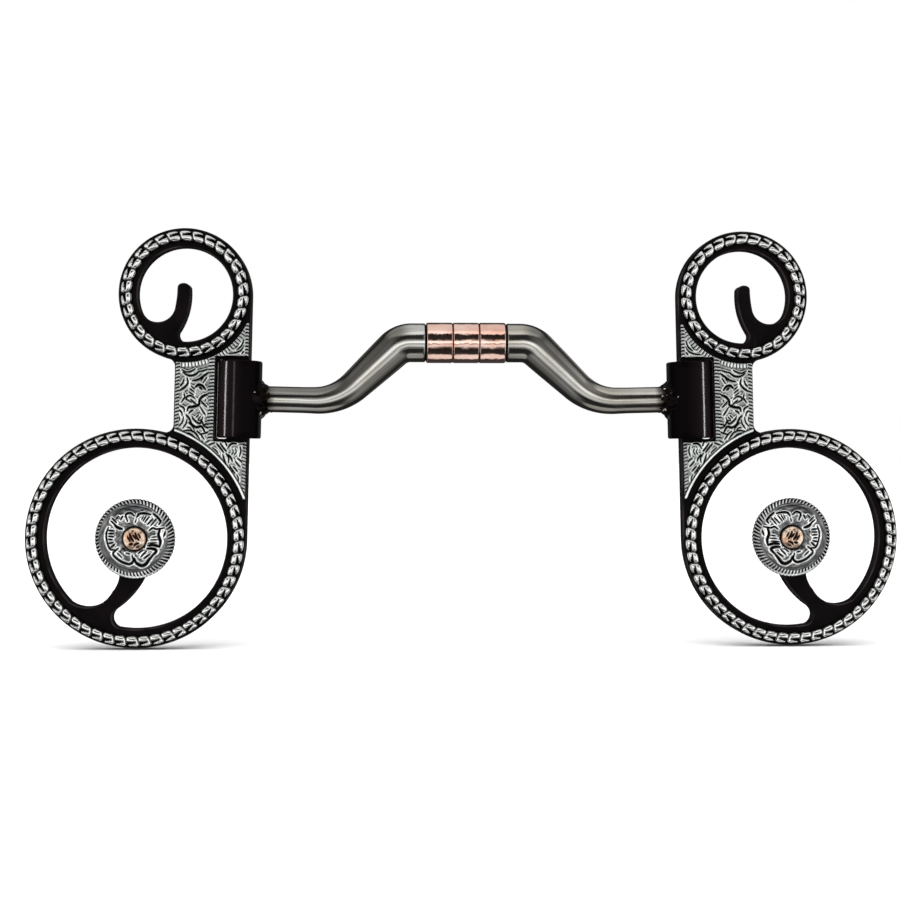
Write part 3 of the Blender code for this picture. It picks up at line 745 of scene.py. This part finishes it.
def concho(name, matrix):
    """An engraved disc, slightly domed, with a milled edge."""
    flat_radius = CONCHO_RADIUS - CONCHO_ROUNDING
    front = [(radius, 0.0) for radius in np.linspace(SHANK_RADIUS, flat_radius, 96)]
    rim = corner(flat_radius, -CONCHO_ROUNDING, CONCHO_ROUNDING, 90)[1:]
    profile = front + rim + [(CONCHO_RADIUS, -1.0), (SHANK_RADIUS, -1.0)]
    front_rows = len(front)

    def shape(radius, angle, height):
        crown = CONCHO_HEIGHT - 0.30 - 0.45 * (radius / CONCHO_RADIUS) ** 3
        change, dark, mill = concho_relief(radius, angle)
        low = crown + change
        low[front_rows:] = (crown + change)[front_rows - 1] + height[front_rows:]
        low[-2:] = 0.0
        dark[front_rows + 2:] = CONCHO_BACK_TONE
        notch = 0.16 * mill * smoothstep(CONCHO_RADIUS - 0.9, CONCHO_RADIUS - 0.1, radius)
        return radius - notch, low, dark

    return turned(name, profile, 720, matrix, closed=True, shape=shape)


RIVET_CUTS = {
    0.3: (
        ((-2.1, 0.4), (-1.3, 1.7)), ((-0.6, 0.0), (0.3, 1.3)),
    ),
    0.32: (
        ((0.9, -0.8), (1.9, 0.7)),
    ),
    0.34: (
        ((-1.6, -1.2), (-0.7, -1.5), (-0.1, -2.2)),
    ),
    0.44: (
        ((-1.6, -0.2), (-0.9, 0.6), (-0.4, 1.9)), ((0.3, -1.5), (1.2, -1.7)),
    ),
    0.46: (
        ((0.0, -0.6), (0.8, 0.4), (1.2, 1.7)),
    ),
}
RIVET_TONE = 0.05
RIVET_DOME = 1.32
BACK_HEAD_RADIUS = 2.7
# The head behind the stem: radius, and distance from its seat
BACK_HEAD = (
    (SHANK_RADIUS, 0.0), (2.55, 0.1), (BACK_HEAD_RADIUS, 0.45), (2.45, 0.8),
    (1.8, 0.98), (0.9, 1.04), (0.0, 1.05),
)


def rivet(name, matrix):
    """Engraved copper dome in front, shank, and a hammered head behind."""
    base = CONCHO_HEIGHT - 0.12
    spread_out = np.sin(np.linspace(0.0, math.pi / 2, 30))
    dome = [(RIVET_RADIUS * share, base + RIVET_DOME * (1 - share ** 4) ** 0.5) for share in spread_out]
    back = -2 * PLATE_HALF - 0.32
    tail = [(SHANK_RADIUS, base)] + [(radius, back - distance) for radius, distance in BACK_HEAD]
    front_rows = len(dome)

    def shape(radius, angle, height):
        depth, black, bright = carve(polar(radius[:front_rows], angle), each_cut(RIVET_CUTS), RIVET_LIP)
        depth = RIVET_CUT * depth - RIVET_LIP_RISE * bright * (1 - depth)
        dark_front = np.maximum(black, RIVET_TONE * (1 - bright))
        dark = np.zeros_like(radius)
        dark[:front_rows] = dark_front.reshape(front_rows, -1)
        height = height.copy()
        height[:front_rows] -= depth.reshape(front_rows, -1)
        dents = 0.04 * np.cos(3 * angle + 1.0) + 0.03 * np.cos(7 * angle + 2.0)
        height[-5:] += (dents * (radius / BACK_HEAD_RADIUS) ** 2)[-5:]
        return radius, height, dark

    return turned(name, dome + tail, 120, matrix, shape=shape)


# ---------------------------------------------------------------- mouthpiece

BAR_FLAT = 4.6
PORT_BEND = 8.0
PORT_SLOPE = math.radians(43.0)
PORT_SLOPE_LENGTH = 16.3
BAR_BEND = 17.7
BAR_END_RADIUS = 6.05
BAR_RADIUS = 4.05
BAR_SINK = 0.9                          # how far the bars go into the sleeves' walls
WELD_REACH = 3.8
WELD_ROWS = 30
ROLLER_GAP = (BAR_START - 1.5 * ROLLER_LENGTH) / 2
# Black washers in the roller gaps, standing in for the gaps' shade
SHADE_WASHER_RADIUS = ROLLER_RADIUS - 0.16
SHADE_WASHER_WIDTH = 0.14
BAR_SIDES = 96
INNER_FACE = RIGHT.origin.x - SLEEVE_RADIUS
RISE = math.atan2(-RIGHT.up.x, RIGHT.up.z)


def bar_centreline():
    """Points (x, z) along the right bar from the rollers into the sleeve's wall."""
    flat_end = BAR_START + BAR_FLAT
    angles = np.linspace(0, PORT_SLOPE, 14)
    port = np.column_stack([flat_end + PORT_BEND * np.sin(angles), -PORT_BEND * (1 - np.cos(angles))])
    slope = np.linspace(0, PORT_SLOPE_LENGTH, 12)[1:, None]
    ramp = port[-1] + slope * np.array([math.cos(PORT_SLOPE), -math.sin(PORT_SLOPE)])
    headings = np.linspace(-PORT_SLOPE, RISE, 20)[1:]
    bend = ramp[-1] + BAR_BEND * np.column_stack([
        np.sin(headings) + math.sin(PORT_SLOPE), math.cos(PORT_SLOPE) - np.cos(headings),
    ])
    reach = np.linspace(0, INNER_FACE + BAR_SINK - bend[-1][0], 14)[1:, None]
    run = bend[-1] + reach * np.array([1.0, math.tan(RISE)])
    start = np.column_stack([np.linspace(BAR_START, flat_end, 9)[:-1], np.zeros(8)])
    return np.concatenate([start, port, ramp, bend, run])


def bar_radius(x):
    """The bar tapers from the rollers to the cheek."""
    taper_start = BAR_START + BAR_FLAT
    share = smoothstep(taper_start, taper_start + 2 * BAR_BEND, x)
    return BAR_END_RADIUS + (BAR_RADIUS - BAR_END_RADIUS) * share ** 0.8


def painted_bar_shade(rows, sides, side):
    """Painted shade on the underside of a bar, and along the top of the left one, as seen round it."""
    up = np.cos(around(sides))
    along = np.linspace(0, 1, rows)[:, None]
    above = smoothstep(0.05, 0.40, up) * (0.10 + 0.52 * smoothstep(0.14, 0.24, along))
    if side > 0:
        above = above * (0.20 + 0.80 * smoothstep(0.62, 0.42, along))
    below = 0.62 * smoothstep(-0.50, -0.78, up)
    return np.maximum(above, below)


def capped_tube(name, points, ends, sides, dark, grain=None):
    """A tube from rings of points, closed at both ends by a fan round an end point."""
    count = len(points)
    faces = grid_faces(count // sides, sides, False)
    for i in range(sides):
        after = (i + 1) % sides
        faces.append((i, after, count))
        faces.append((count - sides + i, count - sides + after, count + 1))
    dark = np.concatenate([dark, [0, 1]])
    if grain is not None:
        grain = np.concatenate([grain, [0.5, 0.5]])
    return make_object(name, np.concatenate([points, ends]), faces, Matrix.Scale(MM, 4), dark, grain)


def sweep(name, line, radii, side, sides, dark, grain):
    """A round tube along (x, z) points of the right half, mirrored for the left, with closed ends."""
    heading = np.gradient(line, axis=0)
    heading /= np.linalg.norm(heading, axis=1)[:, None]
    angle = around(sides)
    out = radii[:, None] * np.cos(angle)
    x = line[:, :1] - heading[:, 1:] * out
    z = line[:, 1:] + heading[:, :1] * out
    y = radii[:, None] * np.sin(angle)
    points = np.stack([side * x, y, z], axis=2).reshape(-1, 3)
    ends = [(side * line[end][0], 0, line[end][1]) for end in (0, -1)]
    return capped_tube(name, points, ends, sides, dark, grain)


def polishing_marks(rows, sides, seed):
    """Streaks that run along a bar and fade in and out of each other."""
    chance = np.random.default_rng(seed)
    places = np.linspace(0, 5, rows)
    marks = np.zeros((rows, sides))
    for spacing, weight in ((1, 0.5), (3, 0.3), (8, 0.2)):
        knots = chance.random((7, sides // spacing))
        streaks = np.repeat(knots, spacing, axis=1)
        low = places.astype(int)
        share = smoothstep(0, 1, places - low)[:, None]
        marks += weight * (streaks[low] * (1 - share) + streaks[low + 1] * share)
    return marks.reshape(-1)


def mouth_bar(name, side):
    """One ported bar: chamfered at the rollers, tapering, heat-darkened near its weld, with painted shade
    along its top and underside.
    """
    line = bar_centreline()
    radii = bar_radius(line[:, 0])
    chamfer = line[0] + np.array([[0.0, 0.0], [0.05, 0.0], [0.42, 0.0], [0.50, 0.0]])
    line = np.concatenate([chamfer, line[2:]])
    radii = np.concatenate([BAR_END_RADIUS - np.array([0.52, 0.45, 0.06, 0.0]), radii[2:]])
    heat = smoothstep(INNER_FACE - 4.9, INNER_FACE - 2.2, line[:, 0])
    # Darkness round the bar: painted shade on its top and underside, with heat scale by the weld
    tone = np.maximum(painted_bar_shade(len(line), BAR_SIDES, side), heat[:, None]).reshape(-1)
    return sweep(name, line, radii, side, BAR_SIDES, tone, polishing_marks(len(line), BAR_SIDES, 11 + side))


def weld(name, side):
    """The weld that spreads from the bar on to the sleeve: a flared collar with uneven ripples."""
    end = bar_centreline()[-1]
    middle = np.array([INNER_FACE, end[1] - BAR_SINK * math.tan(RISE)])
    share = np.linspace(0, 1, WELD_ROWS)[:, None]
    angle = around(BAR_SIDES)
    ripple = 0.12 * np.sin(6 * angle + 11 * share) + 0.08 * np.sin(17 * angle - 13 * share + side)
    ripple += 0.07 * np.sin(4 * angle + 26 * share)
    ripple = ripple * smoothstep(0.05, 0.4, share)
    start = BAR_RADIUS - 0.12
    radii = start + 2.7 * share ** 2.8 + ripple
    across = (start + 1.3 * share ** 2.4 + ripple) * np.sin(angle)
    sleeve_x = RIGHT.origin.x - np.sqrt(np.maximum(SLEEVE_RADIUS ** 2 - across ** 2, 0.01))
    reach = WELD_REACH + 0.5 * np.sin(3 * angle + side) + 0.35 * np.sin(7 * angle)
    x = (sleeve_x + 0.25) * share + (INNER_FACE - reach) * (1 - share)
    z = middle[1] + radii * np.cos(angle) + (x - middle[0]) * math.tan(RISE)
    points = np.stack([side * x, across, z], axis=2).reshape(-1, 3)
    first, last = points[:BAR_SIDES].mean(axis=0), points[-BAR_SIDES:].mean(axis=0)
    ends = [first, last + np.array([side * BAR_SINK, 0, 0])]
    dark = np.repeat(smoothstep(0.0, 0.3, share[:, 0]), BAR_SIDES)
    return capped_tube(name, points, ends, BAR_SIDES, dark)


def tube_profile(radius, bore, half, rounding):
    """A tube's closed profile with rounded outer corners and softened bore edges."""
    ease = min(0.25, half / 3)
    top = [(bore + ease, half), (radius - rounding, half)]
    upper = corner(radius - rounding, half - rounding, rounding, 90)[1:]
    lower = corner(radius - rounding, rounding - half, rounding, 0)[:-1]
    walls = [(radius, height) for height in np.linspace(half - rounding, rounding - half, 12)[1:-1]]
    bottom = [(radius - rounding, -half), (bore + ease, -half), (bore, ease - half), (bore, half - ease)]
    return top + upper + walls + lower + bottom


def along_x(x):
    """Takes (radius, angle, h) pieces to the roller axis, in metres."""
    turn = Matrix.Rotation(math.radians(90), 4, "Y")
    return Matrix.Translation((x * MM, 0, 0)) @ turn @ Matrix.Scale(MM, 4)


# ---------------------------------------------------------------- materials

class Nodes:
    """Short ways to build a node tree."""

    def __init__(self, tree):
        self.tree = tree

    def node(self, kind, **values):
        """A node with its input values set by name."""
        node = self.tree.nodes.new(kind)
        for name, value in values.items():
            node.inputs[name.replace("_", " ")].default_value = value
        return node

    def feed(self, target, value):
        """Links an output to an input, or gives the input a plain value or colour."""
        if isinstance(value, bpy.types.NodeSocket):
            self.tree.links.new(value, target)
        else:
            target.default_value = (*value, 1) if isinstance(value, tuple) else value

    def ramp(self, value, stops):
        """Maps a value through greys, given as (place, grey)."""
        node = self.node("ShaderNodeValToRGB")
        elements = node.color_ramp.elements
        while len(elements) < len(stops):
            elements.new(0.5)
        for element, (place, grey) in zip(elements, stops):
            element.position = place
            element.color = (grey, grey, grey, 1)
        self.feed(node.inputs["Fac"], value)
        return node.outputs["Color"]

    def spread(self, value, low, high, to_low=0.0, to_high=1.0):
        """Takes low and high to 0 and 1, or to other ends, and holds the value between them."""
        node = self.node("ShaderNodeMapRange", From_Min=low, From_Max=high, To_Min=to_low, To_Max=to_high)
        self.feed(node.inputs["Value"], value)
        return node.outputs["Result"]

    def maths(self, operation, *values):
        """One sum on one or two values."""
        node = self.node("ShaderNodeMath")
        node.operation = operation
        for socket, value in zip(node.inputs, values):
            self.feed(socket, value)
        return node.outputs["Value"]

    def mix(self, factor, first, second, kind="RGBA"):
        """From the first colour, or FLOAT, to the second."""
        node = self.node("ShaderNodeMix")
        node.data_type = kind
        place, output = (6, 2) if kind == "RGBA" else (2, 0)
        for index, value in ((0, factor), (place, first), (place + 1, second)):
            self.feed(node.inputs[index], value)
        return node.outputs[output]


class Shader(Nodes):
    """A Principled material and short ways to feed it."""

    def __init__(self, name, metallic, specular=0.5):
        self.material = bpy.data.materials.new(name)
        self.material.use_nodes = True
        super().__init__(self.material.node_tree)
        self.main = self.tree.nodes["Principled BSDF"].inputs
        self.main["Metallic"].default_value = metallic
        self.main["Specular IOR Level"].default_value = specular
        places = self.node("ShaderNodeTexCoord").outputs
        self.where, self.normal = places["Object"], places["Normal"]

    def noise(self, scale, detail=4.0, stretch=(1, 1, 1)):
        """Noise in object space, as a value."""
        mapping = self.node("ShaderNodeMapping", Scale=stretch)
        self.feed(mapping.inputs["Vector"], self.where)
        noise = self.node("ShaderNodeTexNoise", Scale=scale, Detail=detail)
        self.feed(noise.inputs["Vector"], mapping.outputs["Vector"])
        return noise.outputs["Fac"]

    def tint(self, value, stops, first, second):
        """From the first colour to the second as a value passes the stops."""
        return self.mix(self.ramp(value, stops), first, second)

    def colour(self, value):
        self.feed(self.main["Base Color"], value)

    def roughness(self, value, low, high):
        """Roughness runs from low to high with a value."""
        self.feed(self.main["Roughness"], self.spread(value, 0, 1, low, high))

    def bump(self, value, distance, strength):
        """Adds a fine bump, chained on any that is there."""
        bump = self.node("ShaderNodeBump", Strength=strength, Distance=distance)
        self.feed(bump.inputs["Height"], value)
        normal = self.main["Normal"]
        if normal.is_linked:
            self.feed(bump.inputs["Normal"], normal.links[0].from_socket)
        self.feed(normal, bump.outputs["Normal"])

    def facing_share(self):
        """How squarely the surface faces forwards or back: 1 on a cheek's flat faces, 0 on its edges."""
        split = self.node("ShaderNodeSeparateXYZ")
        self.feed(split.inputs["Vector"], self.normal)
        return self.maths("ABSOLUTE", split.outputs["Y"])

    def stored(self, layer):
        """A value stored on the mesh's points."""
        attribute = self.node("ShaderNodeAttribute")
        attribute.attribute_name = layer
        return attribute.outputs["Fac"]


def black_steel():
    """Satin blackened steel with a fine forged grain, faint rub marks, and bevels lightened partly by wear
    and partly by a painted sheen.
    """
    shader = Shader("black_steel_satin", 0.0, 0.022)
    cloud = shader.noise(180.0, 5.0)
    rub = shader.noise(900.0, 3.0, (1, 1, 0.15))
    base = shader.tint(cloud, ((0.35, 0.0), (0.75, 1.0)), (0.0022, 0.0015, 0.0019), (0.0052, 0.0037, 0.0045))
    base = shader.tint(rub, ((0.68, 0.0), (0.82, 0.30)), base, (0.028, 0.023, 0.023))
    # Bevels, found by which way they face, are lightened: partly wear, partly a painted edge highlight
    bevel = shader.ramp(shader.facing_share(), ((0.20, 0.10), (0.45, 1.0), (0.80, 1.0), (0.95, 0.0)))
    bevel_wear_and_sheen = shader.tint(shader.noise(140.0, 3.0), ((0.40, 0.15), (0.62, 1.0)), (0.0, 0.0, 0.0), bevel)
    shader.colour(shader.mix(bevel_wear_and_sheen, base, (0.034, 0.028, 0.027)))
    shader.roughness(cloud, 0.26, 0.46)
    shader.bump(shader.noise(2600.0, 3.0), 0.00003, 0.5)
    shader.bump(cloud, 0.00012, 0.5)
    return shader.material


def gloss_black():
    """Glossy black finish that flows slightly over the drawn tube."""
    shader = Shader("black_gloss", 0.0, 0.016)
    flow = shader.noise(120.0, 3.0, (1, 1, 0.4))
    shader.colour(shader.mix(flow, (0.0008, 0.0005, 0.0006), (0.0020, 0.0012, 0.0014)))
    shader.roughness(shader.noise(500.0, 4.0), 0.08, 0.20)
    shader.bump(flow, 0.00014, 0.5)
    shader.bump(shader.noise(1500.0, 2.0), 0.00002, 0.3)
    return shader.material


def weld_metal():
    """Dark oxidised weld with a little brown heat tint and bright painted glints."""
    shader = Shader("weld_oxide", 0.7, 0.06)
    cloud = shader.noise(420.0, 6.0)
    painted_glint = shader.noise(620.0, 2.0)
    base = shader.tint(cloud, ((0.42, 0.0), (0.72, 1.0)), (0.0022, 0.0016, 0.0018), (0.009, 0.006, 0.005))
    # painted highlight: bright glints painted into the weld's colour where the noise peaks
    shader.colour(shader.tint(painted_glint, ((0.66, 0.0), (0.70, 0.9)), base, (0.62, 0.56, 0.55)))
    shader.roughness(cloud, 0.08, 0.25)
    shader.bump(cloud, 0.00020, 0.7)
    return shader.material


def brushed_steel():
    """Sweet iron: grey steel polished along the bar, warm clouds, dark heat scale by the weld, and painted
    shade along the bars' tops and undersides.
    """
    shader = Shader("sweet_iron", 1.0)
    brush = shader.stored("grain")
    cloud = shader.noise(90.0)
    base = shader.tint(cloud, ((0.35, 0.0), (0.70, 1.0)), (0.66, 0.66, 0.63), (0.54, 0.50, 0.43))
    base = shader.tint(brush, ((0.45, 0.0), (0.75, 0.45)), base, (0.30, 0.28, 0.23))
    # The stored darkness carries the painted shade and the heat scale
    shader.colour(shader.mix(shader.stored("dark"), base, (0.020, 0.015, 0.009)))
    shader.roughness(brush, 0.08, 0.22)
    shader.bump(brush, 0.00005, 0.5)
    shader.bump(cloud, 0.0002, 0.25)
    return shader.material


def antique_silver(name, bright, shade):
    """Silver with black left in its engraving, polished on its high places."""
    shader = Shader(name, 1.0)
    cloud = shader.noise(260.0, 5.0)
    base = shader.tint(cloud, ((0.36, 0.0), (0.66, 1.0)), bright, shade)
    shader.colour(shader.mix(shader.stored("dark"), base, (0.002, 0.002, 0.002)))
    shader.roughness(cloud, 0.10, 0.24)
    shader.bump(shader.noise(2600.0, 3.0), 0.00003, 0.6)
    return shader.material


def copper(name, bright, deep, low, high, clouds):
    """Polished copper with fine turning marks and a slightly deeper tarnish in places."""
    shader = Shader(name, 1.0)
    turning = shader.noise(1500.0, 3.0, (1, 0.04, 0.04))
    base = shader.tint(shader.noise(clouds), ((0.38, 0.0), (0.72, 1.0)), bright, deep)
    shader.colour(shader.mix(shader.stored("dark"), base, (0.035, 0.010, 0.006)))
    shader.roughness(turning, low, high)
    shader.bump(turning, 0.00003, 0.4)
    shader.bump(shader.noise(260.0, 2.0), 0.0005, 0.45)
    return shader.material


BLACK = black_steel()
GLOSS = gloss_black()
WELD = weld_metal()
STEEL = brushed_steel()
ROPE_SILVER = antique_silver("rope_silver_bright", (1.0, 1.0, 0.98), (0.84, 0.86, 0.83))
ENGRAVED = antique_silver("engraved_silver_antique", (0.98, 1.0, 0.97), (0.68, 0.73, 0.70))
CONCHO_SILVER = antique_silver("concho_silver_antique", (0.98, 0.98, 0.95), (0.66, 0.69, 0.71))
ROLLER_COPPER = copper("roller_copper_polished", (0.98, 0.70, 0.60), (0.84, 0.48, 0.37), 0.06, 0.16, 150.0)
RIVET_COPPER = copper("rivet_copper_polished", (1.0, 0.83, 0.66), (0.66, 0.33, 0.20), 0.08, 0.20, 380.0)


# ---------------------------------------------------------------- assembly

PURCHASE_BEADS, REIN_BEADS = 30, 54
OVERLAY_SPACING = 0.155                 # between the points of the overlay's mesh
OVERLAY_EXTRA = 0.28                    # its uncut metal stands this much higher than the CAD's
PIN_CHAMFER = 0.3
ROLLER_PLAY = 0.3                       # between the pin and a roller's bore
ROLLER_ROUNDING = 0.26


def build_cheek(name, cheek):
    """Everything on one cheek, and the sleeve it turns in."""
    face = PLATE_HALF + SEAT
    on_stem = cheek.matrix(REIN_CENTRE, face)
    outlines = [plate_outline(), window_outline(), purchase_hole(), rein_hole()]
    plate = slab(f"{name}_plate_forged", outlines, PLATE_HALF, PLATE_ROUNDING, cheek.matrix())
    finish(plate, f"{name}_cheek_plate", BLACK)
    thickness, place = OVERLAY_HEIGHT + OVERLAY_EXTRA, cheek.matrix(height=face)
    overlay = relief(f"{name}_overlay_engraved", overlay_outline(), thickness, OVERLAY_SPACING, place)
    finish(overlay, f"{name}_shank_overlay", ENGRAVED)
    for ring, centre, outer, beads in (
        ("purchase", PURCHASE_CENTRE, PURCHASE_ROPE_OUTER, PURCHASE_BEADS),
        ("rein", REIN_CENTRE, REIN_ROPE_OUTER, REIN_BEADS),
    ):
        trim = rope(f"{name}_{ring}_rope_twisted", outer, beads, cheek.matrix(centre, face))
        finish(trim, f"{name}_{ring}_ring_rope", ROPE_SILVER)
    finish(concho(f"{name}_concho_engraved", on_stem), f"{name}_concho", CONCHO_SILVER)
    finish(rivet(f"{name}_rivet_domed", on_stem), f"{name}_concho_rivet", RIVET_COPPER)
    profile = tube_profile(SLEEVE_RADIUS, SLEEVE_BORE, SLEEVE_LENGTH / 2, SLEEVE_ROUNDING)
    upright = cheek.matrix() @ Matrix.Rotation(math.radians(-90), 4, "X")
    sleeve = turned(f"{name}_sleeve_drawn", profile, 96, upright, closed=True)
    LIT[name].objects.link(finish(sleeve, f"{name}_hinge_sleeve", GLOSS))


def build_mouthpiece():
    """Bars with their welds, the pin with its black washers, which stand in for the shade in the roller gaps,
    and the three rollers.
    """
    for name, side in SIDES.items():
        finish(mouth_bar(f"{name}_bar_drawn", side), f"{name}_mouth_bar", STEEL)
        finish(weld(f"{name}_bar_weld", side), f"{name}_mouth_bar", WELD, stands_for=False)
    half, narrow, short = PIN_LENGTH / 2, PIN_RADIUS - PIN_CHAMFER, PIN_LENGTH / 2 - PIN_CHAMFER
    rod = [(0, half), (narrow, half), (PIN_RADIUS, short), (PIN_RADIUS, -short), (narrow, -half), (0, -half)]
    finish(turned("roller_pin_ground", rod, 64, along_x(0)), "roller_pin", STEEL)
    gap_middle = (ROLLER_LENGTH + ROLLER_GAP) / 2
    # Black washers nearly as wide as the rollers, put in the gaps to stand in for their shade
    shade_washer_profile = tube_profile(SHADE_WASHER_RADIUS, PIN_RADIUS + 0.05, SHADE_WASHER_WIDTH / 2, 0.05)
    for number, gaps in enumerate((-3, -1, 1, 3), 1):
        shade_washer = turned(f"roller_gap_shade_washer_{number}", shade_washer_profile, 72, along_x(gaps * gap_middle), closed=True)
        finish(shade_washer, "roller_pin", BLACK, stands_for=False)
    profile = tube_profile(ROLLER_RADIUS, PIN_RADIUS + ROLLER_PLAY, ROLLER_LENGTH / 2, ROLLER_ROUNDING)
    for name in ("left", "centre", "right"):
        node = f"{name}_copper_roller"
        place = along_x(box_mm(node)[0].x)
        finish(turned(f"{name}_roller_polished", profile, 96, place, closed=True), node, ROLLER_COPPER)


# ---------------------------------------------------------------- floor, light and camera

CAMERA_DISTANCE = 0.45
CAMERA_AIM = Vector((-0.0049, 0.0, -0.03347))
CAMERA_HEADING = math.radians(2.3)       # towards the left cheek, from square on
FIELD_WIDTH = 0.2813
SENSOR = 36.0
FLOOR_RADIUS, FLOOR_DROP = 6.0, 0.0004


def floor():
    """A wide pale floor just under the rein rings, left out of the metal's reflections."""
    middle = (0, 0, CAD_BOX[0].z - FLOOR_DROP)
    bpy.ops.mesh.primitive_circle_add(vertices=96, radius=FLOOR_RADIUS, fill_type="NGON", location=middle)
    ground = bpy.context.object
    ground.name = "pale_floor"
    ground.visible_glossy = False
    material = bpy.data.materials.new("pale_floor")
    material.use_nodes = True
    shader = material.node_tree.nodes["Principled BSDF"]
    shader.inputs["Base Color"].default_value = (0.94, 0.94, 0.94, 1)
    shader.inputs["Roughness"].default_value = 0.9
    ground.data.materials.append(material)


SUN_HEADING = (0.1, 0.45, -1.0)
SUN_STRENGTH, SUN_SPREAD = 3.4, 80.0
STRIP_DISTANCE, STRIP_HEIGHT = 1.0, 0.9
# Strip lights: name, cheek, degrees out from straight ahead of it, width, power
STRIPS = (
    ("left_strip", "left", 74.0, 0.130, 108.0),
    ("right_strip", "right", 74.0, 0.130, 108.0),
    ("left_faint_strip", "left", 26.0, 0.120, 15.0),
)


def soft_sun():
    """A broad soft light on the floor and the matt parts, without a reflection in the metal."""
    data = bpy.data.lights.new("soft_sun", "SUN")
    data.energy, data.angle = SUN_STRENGTH, math.radians(SUN_SPREAD)
    light = bpy.data.objects.new("soft_sun", data)
    light.rotation_euler = Vector(SUN_HEADING).to_track_quat("-Z", "Y").to_euler()
    light.visible_glossy = False
    bpy.context.scene.collection.objects.link(light)


def strip_light(name, half, azimuth, width, power):
    """A tall strip that draws one highlight down a sleeve; it lights only that sleeve."""
    data = bpy.data.lights.new(name, "AREA")
    data.shape = "RECTANGLE"
    data.size, data.size_y, data.energy = width, STRIP_HEIGHT, power
    light = bpy.data.objects.new(name, data)
    target = CHEEKS[half].origin * MM
    turn = math.radians(azimuth)
    out = Vector((SIDES[half] * math.sin(turn), -math.cos(turn), 0))
    light.location = target + out * STRIP_DISTANCE
    light.rotation_euler = (target - light.location).to_track_quat("-Z", "Y").to_euler()
    light.light_linking.receiver_collection = LIT[half]
    bpy.context.scene.collection.objects.link(light)


# Brightness that the metal reflects, by the sine of the elevation
AHEAD = (
    (-1.0, 0.9), (-0.97, 0.9), (-0.94, 0.03), (-0.63, 0.015), (-0.52, 0.25), (-0.42, 0.80), (-0.28, 1.05),
    (-0.21, 0.50), (-0.17, 0.28), (-0.12, 0.70), (-0.08, 1.55), (0.06, 1.55), (0.15, 0.55), (0.27, 0.03),
    (0.70, 0.015), (0.77, 1.25), (0.87, 1.20), (1.0, 0.80),
)
AROUND = ((-1.0, 0.9), (-0.97, 0.9), (-0.93, 0.05), (0.72, 0.05), (0.82, 0.70), (1.0, 0.80))
SIDE_GLOW = 1.0
FLANK_GLOW = 0.30
BACK_GLOW = 0.85


def surroundings():
    """White to the camera; to the metal, a studio that is bright above and below with darker bands."""
    world = bpy.data.worlds.new("studio")
    world.use_nodes = True
    bpy.context.scene.world = world
    sky = Nodes(world.node_tree)

    def product(*factors):
        total = factors[0]
        for factor in factors[1:]:
            total = sky.maths("MULTIPLY", total, factor)
        return total

    split = sky.node("ShaderNodeSeparateXYZ")
    sky.feed(split.inputs["Vector"], sky.node("ShaderNodeTexCoord").outputs["Generated"])
    side, depth, up = split.outputs
    height = sky.spread(up, -1, 1)
    ahead, elsewhere = (
        sky.ramp(height, [((place + 1) / 2, grey) for place, grey in stops]) for stops in (AHEAD, AROUND)
    )
    wide, tall = sky.maths("ABSOLUTE", side), sky.maths("ABSOLUTE", up)
    before, behind = sky.spread(depth, 0.35, 0.0), sky.spread(depth, 0.45, 0.60)
    studio = sky.mix(sky.spread(depth, -0.15, -0.50), elsewhere, ahead, "FLOAT")
    glows = (
        product(sky.spread(wide, 0.55, 0.75), sky.spread(tall, 0.75, 0.55), before, SIDE_GLOW),
        product(sky.spread(wide, 0.22, 0.45), before, FLANK_GLOW),
        product(behind, sky.spread(wide, 0.35, 0.55), sky.spread(tall, 0.60, 0.40), BACK_GLOW),
    )
    for glow in glows:
        studio = sky.maths("MAXIMUM", studio, glow)
    seen = sky.mix(sky.node("ShaderNodeLightPath").outputs["Is Camera Ray"], studio, 1.0, "FLOAT")
    sky.feed(sky.tree.nodes["Background"].inputs["Color"], seen)


def camera():
    """Level, and nearly square to the decorated faces."""
    data = bpy.data.cameras.new("photo_camera")
    data.sensor_width = SENSOR
    data.lens = SENSOR * CAMERA_DISTANCE / FIELD_WIDTH
    obj = bpy.data.objects.new("photo_camera", data)
    back = Vector((-math.sin(CAMERA_HEADING), -math.cos(CAMERA_HEADING), 0.0))
    obj.location = CAMERA_AIM + CAMERA_DISTANCE * back
    obj.rotation_euler = (math.radians(90), 0, -CAMERA_HEADING)
    bpy.context.scene.collection.objects.link(obj)
    bpy.context.scene.camera = obj


camera()
floor()
surroundings()
soft_sun()
LIT = {name: bpy.data.collections.new(f"{name}_lit") for name in SIDES}
for strip in STRIPS:
    strip_light(*strip)
bpy.context.scene.view_settings.view_transform = "Standard"

for cheek_name, cheek_plane in CHEEKS.items():
    build_cheek(cheek_name, cheek_plane)
build_mouthpiece()
